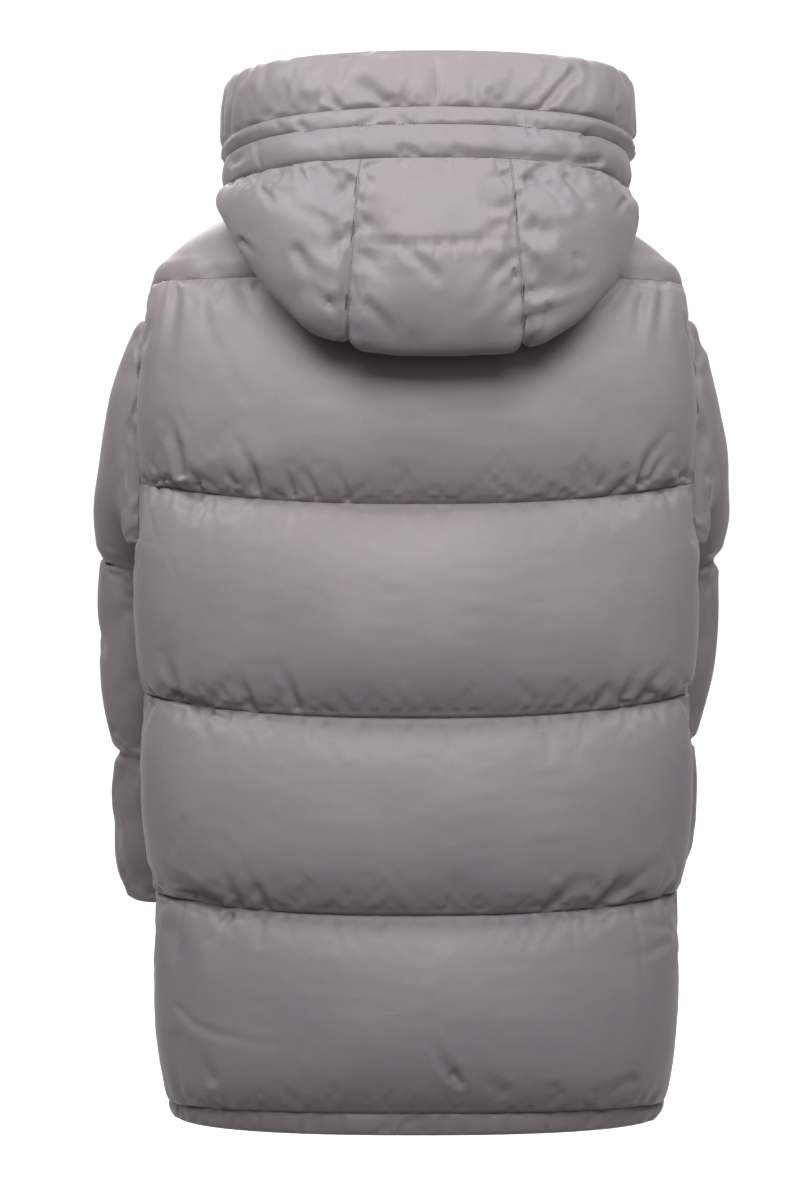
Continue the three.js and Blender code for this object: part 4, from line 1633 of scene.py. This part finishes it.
@dataclass
class Zip:
    """The closed zip: tapes, teeth, slider and pull tab.

    Args:
        tape: Tape cloth.
        tooth: Teeth.
        metal: Slider and tab.
        line_at: Distance from the middle of the line that the teeth follow.
        out: How far they lie out from it.
        pitch: Distance between a row's teeth.
        apart: Distance of a row from the middle.
        ends: Heights of the lowest tooth and of the end of the row.
        slider: Heights between which the slider hides the teeth.
    """

    tape: Material
    tooth: Material
    metal: Material
    line_at: float = 3.3
    out: float = 2.1
    pitch: float = 3.2
    apart: float = 1.7
    ends: tuple[float, float] = (-884, 46)
    slider: tuple[float, float] = (20, 41)

    def build(self) -> None:
        """Gives the zip's own pieces their materials and adds the teeth."""
        for name in ("zip_tape_left", "zip_tape_right"):
            self.paint(name, self.tape)
        for name in ("zip_slider", "zip_pull_tab"):
            self.paint(name, self.metal)
        self.build_teeth()

    def paint(self, name: str, material: Material) -> None:
        """Gives a CAD node a material.

        Args:
            name: The node.
            material: The material.
        """
        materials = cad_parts[name].data.materials
        materials.clear()
        materials.append(material)

    def build_teeth(self) -> None:
        """Two rows of teeth that sit between each other."""
        tree = self.group()
        parts = []
        for surface in (BODY, HOOD):
            rows = np.linspace(0, len(surface.names) - 1, 200)
            parts.append(surface.points(rows, surface.line_turn(rows, self.line_at)))
        line = np.concatenate(parts)
        heights = np.arange(*self.ends, self.pitch)
        y = np.interp(heights, line[:, 2], line[:, 1]) + WALL + self.out
        values = {"Width": 0.0036, "Depth": 0.0020, "Height": 0.0013, "Material": self.tooth}
        low, high = self.slider
        for name, side, lift in (
            ("zip_teeth_left", 1.0, 0.0),
            ("zip_teeth_right", -1.0, self.pitch / 2),
        ):
            points = np.stack([np.full(heights.shape, side * self.apart), y, heights + lift], -1)
            grow(name, [points[(points[:, 2] < low) | (points[:, 2] > high)]], tree, values)

    def group(self) -> NodeTree:
        """Builds the group that sets one tooth on every point of a line.

        Returns:
            The group.
        """
        sockets = {"Geometry": "Geometry", "Width": "Float", "Depth": "Float", "Height": "Float"}
        sockets["Material"] = "Material"
        tree, into, out = new_group("zip_teeth", "Geometry", sockets, {"Geometry": "Geometry"})
        size = {"X": into["Width"], "Y": into["Depth"], "Z": into["Height"]}
        size = add_node(tree, "ShaderNodeCombineXYZ", size)
        tooth = add_node(tree, "GeometryNodeMeshCube", {"Size": size.outputs[0]}).outputs["Mesh"]
        lay_pieces(tree, into, out, {"Points": into["Geometry"], "Instance": tooth})
        return tree


@dataclass(frozen=True)
class Lamp:
    """One area light of the studio, in metres.

    Args:
        name: Its name.
        place: Where it stands.
        aim: What it faces.
        size: Its width and height.
        power: Its watts.
        spread: Degrees over which it shines.
    """

    name: str
    place: tuple[float, float, float]
    aim: tuple[float, float, float]
    size: tuple[float, float]
    power: float
    spread: float = 180


LAMPS = (
    Lamp("key_light", (-0.05, 2.1, 1.05), (0, 0.1, 0.1), (1.6, 1.2), 15, spread=100),
    Lamp("left_light", (1.25, 0.7, 1.3), (0.32, 0, -0.25), (0.5, 0.5), 19),
    Lamp("right_light", (-1.25, 0.7, 1.3), (-0.32, 0, -0.25), (0.5, 0.5), 14),
    Lamp("fill_light", (-0.4, 3.4, 0.3), (0, 0.1, -0.1), (1.4, 1.4), 10),
    Lamp("front_light", (0.5, -2.1, 1.5), (0, -0.1, -0.4), (1.4, 1.4), 30),
    Lamp("backdrop_light", (0, -2.6, 3.4), (0, -4.0, -0.3), (4.0, 1.0), 150),
)


@dataclass
class Studio:
    """Camera, backdrop, lights and world, in metres.

    Args:
        focal: The lens, in millimetres on a sensor 36 wide.
        floor: Height of the floor.
        bend: The y at which it starts to curve up.
        reach: Radius of the curve.
        ends: The floor's near end and the wall's top.
        half: Half the backdrop's width.
        glow: Light that the backdrop gives of itself.
        world: The world's light on the coat, and what the camera sees of it.
    """

    focal: float = 90
    floor: float = -1.12
    bend: float = -2.9
    reach: float = 1.5
    ends: tuple[float, float] = (4.5, 5.5)
    half: float = 6
    glow: float = 0.35
    world: tuple[float, float] = (0.09, 0.9)

    def build(self) -> None:
        """Builds the studio."""
        self.build_camera()
        self.build_backdrop()
        self.build_lamps()
        self.build_world()

    def build_camera(self) -> None:
        """A level camera behind the coat."""
        data = bpy.data.cameras.new("photo_camera")
        data.lens, data.sensor_width, data.sensor_fit = self.focal, 36, "AUTO"
        camera = add_object("photo_camera", data)
        camera.location = Vector(EYE * MM)
        camera.rotation_euler = (QUARTER, 0, math.pi)
        bpy.context.scene.camera = camera

    def build_backdrop(self) -> None:
        """A pale floor that curves up into a wall behind the coat. From its back it is clear."""
        near, top = self.ends
        profile = [(near, self.floor), (self.bend, self.floor)]
        for angle in np.linspace(0, QUARTER, 13)[1:].tolist():
            y = self.bend - self.reach * math.sin(angle)
            profile.append((y, self.floor + self.reach * (1 - math.cos(angle))))
        profile.append((self.bend - self.reach, top))
        points = [(x, y, z) for y, z in profile for x in (-self.half, self.half)]
        faces = [(2 * i, 2 * i + 2, 2 * i + 3, 2 * i + 1) for i in range(len(profile) - 1)]
        obj = add_mesh("backdrop", points, [], faces)
        obj.data.shade_smooth()
        mat, tree, shader = new_material("backdrop_paper")
        paper = {"Base Color": (0.92, 0.92, 0.92, 1), "Roughness": 0.9}
        paper |= {"Emission Color": (1, 1, 1, 1), "Emission Strength": self.glow}
        set_inputs(tree, shader, paper)
        away = add_node(tree, "ShaderNodeNewGeometry").outputs["Backfacing"]
        clear = add_node(tree, "ShaderNodeBsdfTransparent").outputs["BSDF"]
        mix = {"Fac": away, 1: shader.outputs["BSDF"], 2: clear}
        mix = add_node(tree, "ShaderNodeMixShader", mix)
        set_inputs(tree, tree.nodes["Material Output"], {"Surface": mix.outputs["Shader"]})
        obj.data.materials.append(mat)
        obj.visible_diffuse = False

    def build_lamps(self) -> None:
        """Every lamp, turned to what it faces."""
        for lamp in LAMPS:
            data = bpy.data.lights.new(lamp.name, "AREA")
            data.shape, data.size, data.size_y, data.energy = "RECTANGLE", *lamp.size, lamp.power
            data.spread = math.radians(lamp.spread)
            light = add_object(lamp.name, data)
            light.location = Vector(lamp.place)
            way = Vector(lamp.aim) - Vector(lamp.place)
            light.rotation_euler = way.to_track_quat("-Z", "Y").to_euler()

    def build_world(self) -> None:
        """A faint world that the camera sees as bright."""
        world = bpy.data.worlds.new("studio_world")
        world.use_nodes = True
        tree = world.node_tree
        seen = add_node(tree, "ShaderNodeLightPath").outputs["Is Camera Ray"]
        low, high = self.world
        strength = {"Value": seen, "To Min": low, "To Max": high}
        strength = add_node(tree, "ShaderNodeMapRange", strength)
        sky = {"Color": (0.9, 0.9, 0.92, 1), "Strength": strength.outputs["Result"]}
        set_inputs(tree, tree.nodes["Background"], sky)
        bpy.context.scene.world = world
        bpy.context.scene.view_settings.view_transform = "Standard"


BACK_FILL = Filling(
    puff=(25, 26, 26, 25),
    edge=125,
    edge_power=1.3,
    calm_edge=70,
    cloth=PressureCloth(cap=8, slack=0.035, quiet=0.9),
    puckers=(
        Puckers(apart=15, reach=18, width=3.0, depth=1.6, seed=11, quiet_middle=0.6),
        Puckers(apart=60, reach=45, width=5, depth=2.2, seed=12, quiet_middle=0.8),
    ),
    waves=(Waves(190, 1.6, 3), Waves(75, 0.7, 4)),
)
YOKE_FILL = Filling(
    puff=(5,),
    edge=60,
    puckers=(Puckers(26, 22, 5, 1.2, 21),),
    waves=(Waves(120, 0.8, 5),),
)
FRONT_FILL = Filling(
    puff=(24, 25, 25, 24, 6),
    edge=125,
    edge_power=1.3,
    calm_edge=50,
    cloth=PressureCloth(cap=6, quiet=0.3),
    puckers=(Puckers(22, 26, 4, 2.0, 31), Puckers(70, 55, 7, 2.6, 32)),
    waves=(Waves(180, 1.5, 6),),
)
HEM_FILL = Filling(
    puff=(3.6,),
    edge=14,
    power=0.5,
    puckers=(Puckers(15, 9, 2.6, 1.8, 41), Puckers(38, 14, 4, 2.0, 42)),
    waves=(Waves(60, 0.9, 7),),
)
SLEEVE_FILL = Filling(
    puff=(10, 12, 12),
    edge=60,
    cloth=PressureCloth(cap=3.5, slack=0.03),
    puckers=(Puckers(20, 26, 4, 2.2, 51), Puckers(60, 55, 7, 2.4, 52)),
    waves=(Waves(130, 1.3, 8), Waves(60, 0.6, 9)),
)
HOOD_CENTRE_FILL = Filling(
    puff=(0, 14),
    edge=18,
    power=0.55,
    cloth=PressureCloth(cap=5, slack=0.035, quiet=0.3, mesh=2),
    puckers=(Puckers(17, 18, 3.2, 1.5, 61),),
    side_puckers=(Puckers(10, 13, 2.4, 1.5, 62), Puckers(30, 30, 4, 1.6, 63)),
    waves=(Waves(70, 1.2, 10), Waves(34, 0.5, 13)),
)
HOOD_SIDE_FILL = Filling(
    puff=(0, 14),
    edge=20,
    power=0.55,
    cloth=PressureCloth(cap=5, slack=0.045, quiet=0.2),
    puckers=(Puckers(17, 22, 3.4, 1.6, 71),),
    side_puckers=(Puckers(11, 14, 2.4, 1.5, 72), Puckers(32, 34, 4, 1.8, 73)),
    waves=(Waves(80, 1.5, 11), Waves(36, 0.6, 14)),
)
BAND_FILL = Filling(
    puff=(6, 3),
    edge=16,
    puckers=(Puckers(16, 12, 3.5, 1.5, 81),),
    waves=(Waves(50, 1.0, 12),),
)
BRIM_FILL = Filling(
    puff=(7,),
    edge=16,
    cloth=PressureCloth(cap=3, slack=0.012, quiet=0.0),
    puckers=(Puckers(22, 18, 4, 1.6, 91),),
    waves=(Waves(90, 1.4, 15), Waves(40, 0.6, 16)),
)

BACK_CREASES = creases(
    (((180, 474), (176, 446), (163, 418)), 4, 5),
    (((159, 478), (149, 458)), 3, 3),
    (((168, 478), (145, 481)), 3, 3, 0.5),
    (((197, 483), (185, 465)), 3, 3),
    (((233, 483), (223, 465)), 3, 3),
    (((258, 489), (250, 465), (238, 443)), 3.5, 4),
    (((293, 495), (284, 466)), 3, 3),
    (((317, 496), (303, 465)), 3, 2.5),
    (((348, 498), (337, 470)), 3, 2.2),
    (((641, 482), (652, 455), (668, 434)), 4, 5),
    (((651, 480), (662, 460), (671, 448)), 3, 3.5),
    (((624, 484), (631, 472)), 3, 2.5),
    (((682, 479), (691, 466)), 3, 3),
    (((698, 481), (677, 468)), 3, 3, 0.4),
    (((600, 486), (610, 468)), 3, 2),
    (((176, 696), (170, 672), (162, 654)), 4, 4),
    (((210, 711), (202, 704), (174, 696)), 3, 4, 0.6),
    (((208, 712), (216, 690)), 3, 3),
    (((208, 714), (232, 724)), 3, 3),
    (((253, 711), (244, 690), (233, 672)), 4, 3.5),
    (((297, 706), (288, 684), (279, 664)), 4, 3.5),
    (((641, 700), (652, 684), (668, 668)), 4, 4),
    (((622, 702), (629, 688), (637, 674)), 3.5, 3.5),
    (((596, 706), (604, 692), (612, 678)), 3.5, 3),
    (((665, 697), (677, 686)), 3, 3),
    (((690, 690), (681, 676)), 3, 3),
    (((216, 904), (188, 890), (154, 872)), 5, 5, 0.4),
    (((238, 905), (230, 888), (221, 870)), 4, 3.5),
    (((266, 911), (256, 889), (245, 870)), 4, 3.5),
    (((230, 918), (220, 928), (210, 941)), 3.5, 2.2, 0.4),
    (((600, 907), (628, 884), (656, 866)), 5, 5),
    (((611, 895), (621, 879), (630, 865)), 4, 3.5),
    (((547, 910), (570, 890), (590, 875)), 5, 3.5),
    (((665, 898), (672, 880)), 3, 3),
    (((175, 1008), (193, 1025), (219, 1036), (275, 1046)), 3.2, 1.5, 0.2),
    (((170, 932), (180, 965), (176, 1010)), 10, 2.2, 0.6),
    (((176, 1040), (186, 1075), (198, 1100)), 9, 2.0, 0.6),
    (((668, 944), (652, 953), (630, 960)), 4, 1.8),
    (((666, 928), (640, 922)), 4, 1.4),
    (((212, 1081), (201, 1052)), 5, 2.5),
    (((214, 1108), (180, 1091)), 4, 2.5),
    (((460, 1084), (448, 1070), (437, 1052)), 4.5, 3),
    (((452, 1078), (462, 1070)), 3.5, 1.6),
    (((503, 1093), (480, 1074)), 6, 2),
    (((632, 1081), (593, 1099)), 5, 2),
    (((176, 290), (171, 330), (166, 372)), 5, 2),
    (((205, 290), (198, 340)), 7, 1.5),
    (((240, 288), (262, 330)), 6, 1.5),
    (((644, 296), (637, 345)), 5, 2),
    (((664, 296), (658, 352)), 5, 2),
    (((622, 292), (590, 330)), 6, 1.5),
)
YOKE_CREASES = creases(
    (((176, 286), (181, 258)), 5, 1.5),
    (((205, 286), (213, 250)), 6, 1.2),
    (((640, 286), (630, 250)), 5, 1.5),
    (((662, 286), (650, 262)), 5, 1.5),
)
HEM_CREASES = creases(
    (((230, 1128), (233, 1118)), 2.5, 1.5),
    (((300, 1132), (304, 1122)), 2.5, 1.5),
    (((375, 1136), (384, 1126), (386, 1119)), 2.5, 2),
    (((398, 1138), (402, 1124)), 2.5, 2),
    (((462, 1139), (460, 1124)), 2.5, 2),
    (((256, 1132), (262, 1120)), 2.5, 1.8),
    (((548, 1134), (543, 1122)), 2.5, 1.8),
    (((590, 1126), (586, 1116)), 2.5, 1.5),
)
HOOD_CREASES = creases(
    (((359, 240), (385, 243), (420, 243), (460, 242), (488, 240), (512, 236)), 3.2, 1.8, 0.8),
    (((414, 250), (411, 238)), 2.6, 1.2),
    (((436, 251), (440, 239)), 2.6, 1.4),
    (((455, 250), (452, 237)), 2.6, 1.2),
    (((478, 247), (482, 236)), 2.6, 1.2),
    (((352, 182), (338, 196), (318, 216)), 4.5, 3),
    (((352, 192), (340, 208)), 4, 1.8),
    (((352, 228), (338, 242), (320, 264)), 4.5, 3),
    (((346, 301), (328, 301), (307, 288)), 5, 3, 0.4),
    (((328, 303), (337, 320)), 4, 1.8),
    (((296, 250), (306, 266), (322, 280)), 5, 2.5, 0.5),
    (((240, 240), (257, 256)), 3, 2.5),
    (((356, 332), (330, 322)), 4.5, 1.8),
    (((262, 190), (276, 206)), 3, 2),
    (((300, 172), (309, 190)), 3, 2),
    (((366, 222), (380, 228), (396, 217)), 4.5, 2, 0.4),
    (((360, 231), (376, 236), (392, 240)), 4, 1.8, 0.4),
    (((367, 258), (376, 266), (388, 278)), 4, 1.2),
    (((366, 304), (378, 316), (390, 329)), 5, 2.8, 0.6),
    (((364, 168), (376, 162)), 3.5, 1.6),
    (((504, 222), (494, 227), (482, 234)), 4, 2),
    (((511, 258), (497, 272), (474, 303)), 5, 2.2),
    (((512, 272), (505, 280), (498, 292)), 4, 1.0),
    (((526, 289), (508, 304), (492, 328)), 5, 2.8),
    (((527, 320), (510, 330), (496, 338)), 4.5, 2),
    (((405, 249), (422, 262), (437, 276)), 4, 2.5, 0.5),
    (((400, 160), (408, 174)), 3, 2.5),
    (((440, 157), (446, 170)), 3, 2),
    (((534, 292), (558, 290), (590, 275)), 5, 3, 0.3),
    (((529, 320), (558, 309), (588, 298)), 5, 2.2),
    (((517, 196), (530, 188)), 3, 3),
    (((528, 180), (550, 186), (566, 206)), 4, 2.5, 0.5),
    (((568, 176), (588, 201)), 4, 2.5, 0.5),
    (((600, 163), (622, 176), (634, 194)), 4, 4, 0.6),
    (((524, 250), (536, 262)), 3, 3),
    (((514, 215), (524, 212)), 3, 2.5),
    (((576, 256), (589, 264)), 3, 2),
    (((625, 200), (616, 214)), 3, 2),
)
BAND_CREASES = creases(
    (((360, 127), (372, 118), (389, 108)), 3, 4, 0.5),
    (((396, 106), (400, 122)), 2.5, 3, 0.8),
    (((298, 124), (316, 134)), 3, 2.5),
    (((400, 152), (396, 144)), 3, 3),
    (((417, 155), (404, 147)), 3, 3, 0.5),
    (((528, 122), (532, 138)), 2.5, 2.5),
    (((538, 124), (546, 137)), 2.5, 2.5),
    (((584, 136), (598, 128)), 3, 2.5),
    (((600, 160), (560, 162), (500, 157), (456, 153)), 3.5, 3, 0.3),
    (((232, 162), (246, 152)), 3, 2.5),
)
BRIM_CREASES = creases(
    (((533, 120), (552, 96), (574, 72)), 3.5, 5, 0.5),
    (((336, 104), (326, 92), (312, 80)), 5, 3),
    (((384, 100), (370, 88), (352, 76)), 5, 2.5),
    (((404, 100), (407, 86), (411, 72)), 4, 2.5),
    (((250, 140), (240, 118)), 4, 3),
    (((262, 132), (272, 120)), 4, 2.5),
    (((225, 150), (233, 130)), 3, 3),
    (((632, 141), (608, 124)), 4, 3),
    (((620, 134), (631, 126)), 3, 3),
    (((476, 100), (473, 80)), 4, 2),
    (((590, 126), (600, 112)), 4, 2.5),
)
LEFT_SLEEVE_CREASES = creases(
    (((139, 575), (105, 554)), 4, 4, 0.6),
    (((144, 765), (118, 752)), 4, 4, 0.6),
    (((140, 448), (120, 466)), 5, 3),
    (((140, 466), (116, 490)), 5, 3),
    (((142, 360), (136, 338)), 3, 3),
    (((138, 600), (120, 590)), 4, 2.5),
)
RIGHT_SLEEVE_CREASES = creases(
    (((700, 567), (722, 558)), 4, 4, 0.6),
    (((692, 742), (704, 738)), 3, 3),
    (((700, 480), (716, 468)), 4, 3),
    (((700, 360), (702, 330)), 3, 3),
    (((699, 430), (712, 452)), 4, 2.5),
)
SLEEVES = (
    Sleeve(
        "left",
        1.0,
        (
            Section(242, -128, -343, 47, 88, 40, 16, 14),
            Section(240, -182, -538, 46, 83, 35, 15, 5),
            Section(242, -224, -694, 43, 72, 32, 14, 4),
        ),
        LEFT_SLEEVE_CREASES,
    ),
    Sleeve(
        "right",
        -1.0,
        (
            Section(229, -137, -343, 48, 87, 42, 16, 14),
            Section(217, -190, -530, 48, 82, 37, 15, 5),
            Section(217, -229, -686, 45, 71, 34, 14, 4),
        ),
        RIGHT_SLEEVE_CREASES,
    ),
)


def main() -> None:
    """Builds the whole scene in order."""
    materials = Materials()
    shell = materials.cloth(SHELL)
    stitching = Stitching(materials.cloth(THREAD))
    Studio().build()
    CoatBody(shell, materials.cloth(HEM_SHELL), stitching).build()
    for sleeve in SLEEVES:
        sleeve.build(shell, stitching)
    Hood(shell, stitching).build()
    tape, tooth = materials.cloth(TAPE_CLOTH), materials.metal(TOOTH_METAL)
    Zip(tape, tooth, materials.metal(SLIDER_METAL)).build()


if __name__ == "__main__":
    logging.basicConfig(level=logging.INFO)
    main()
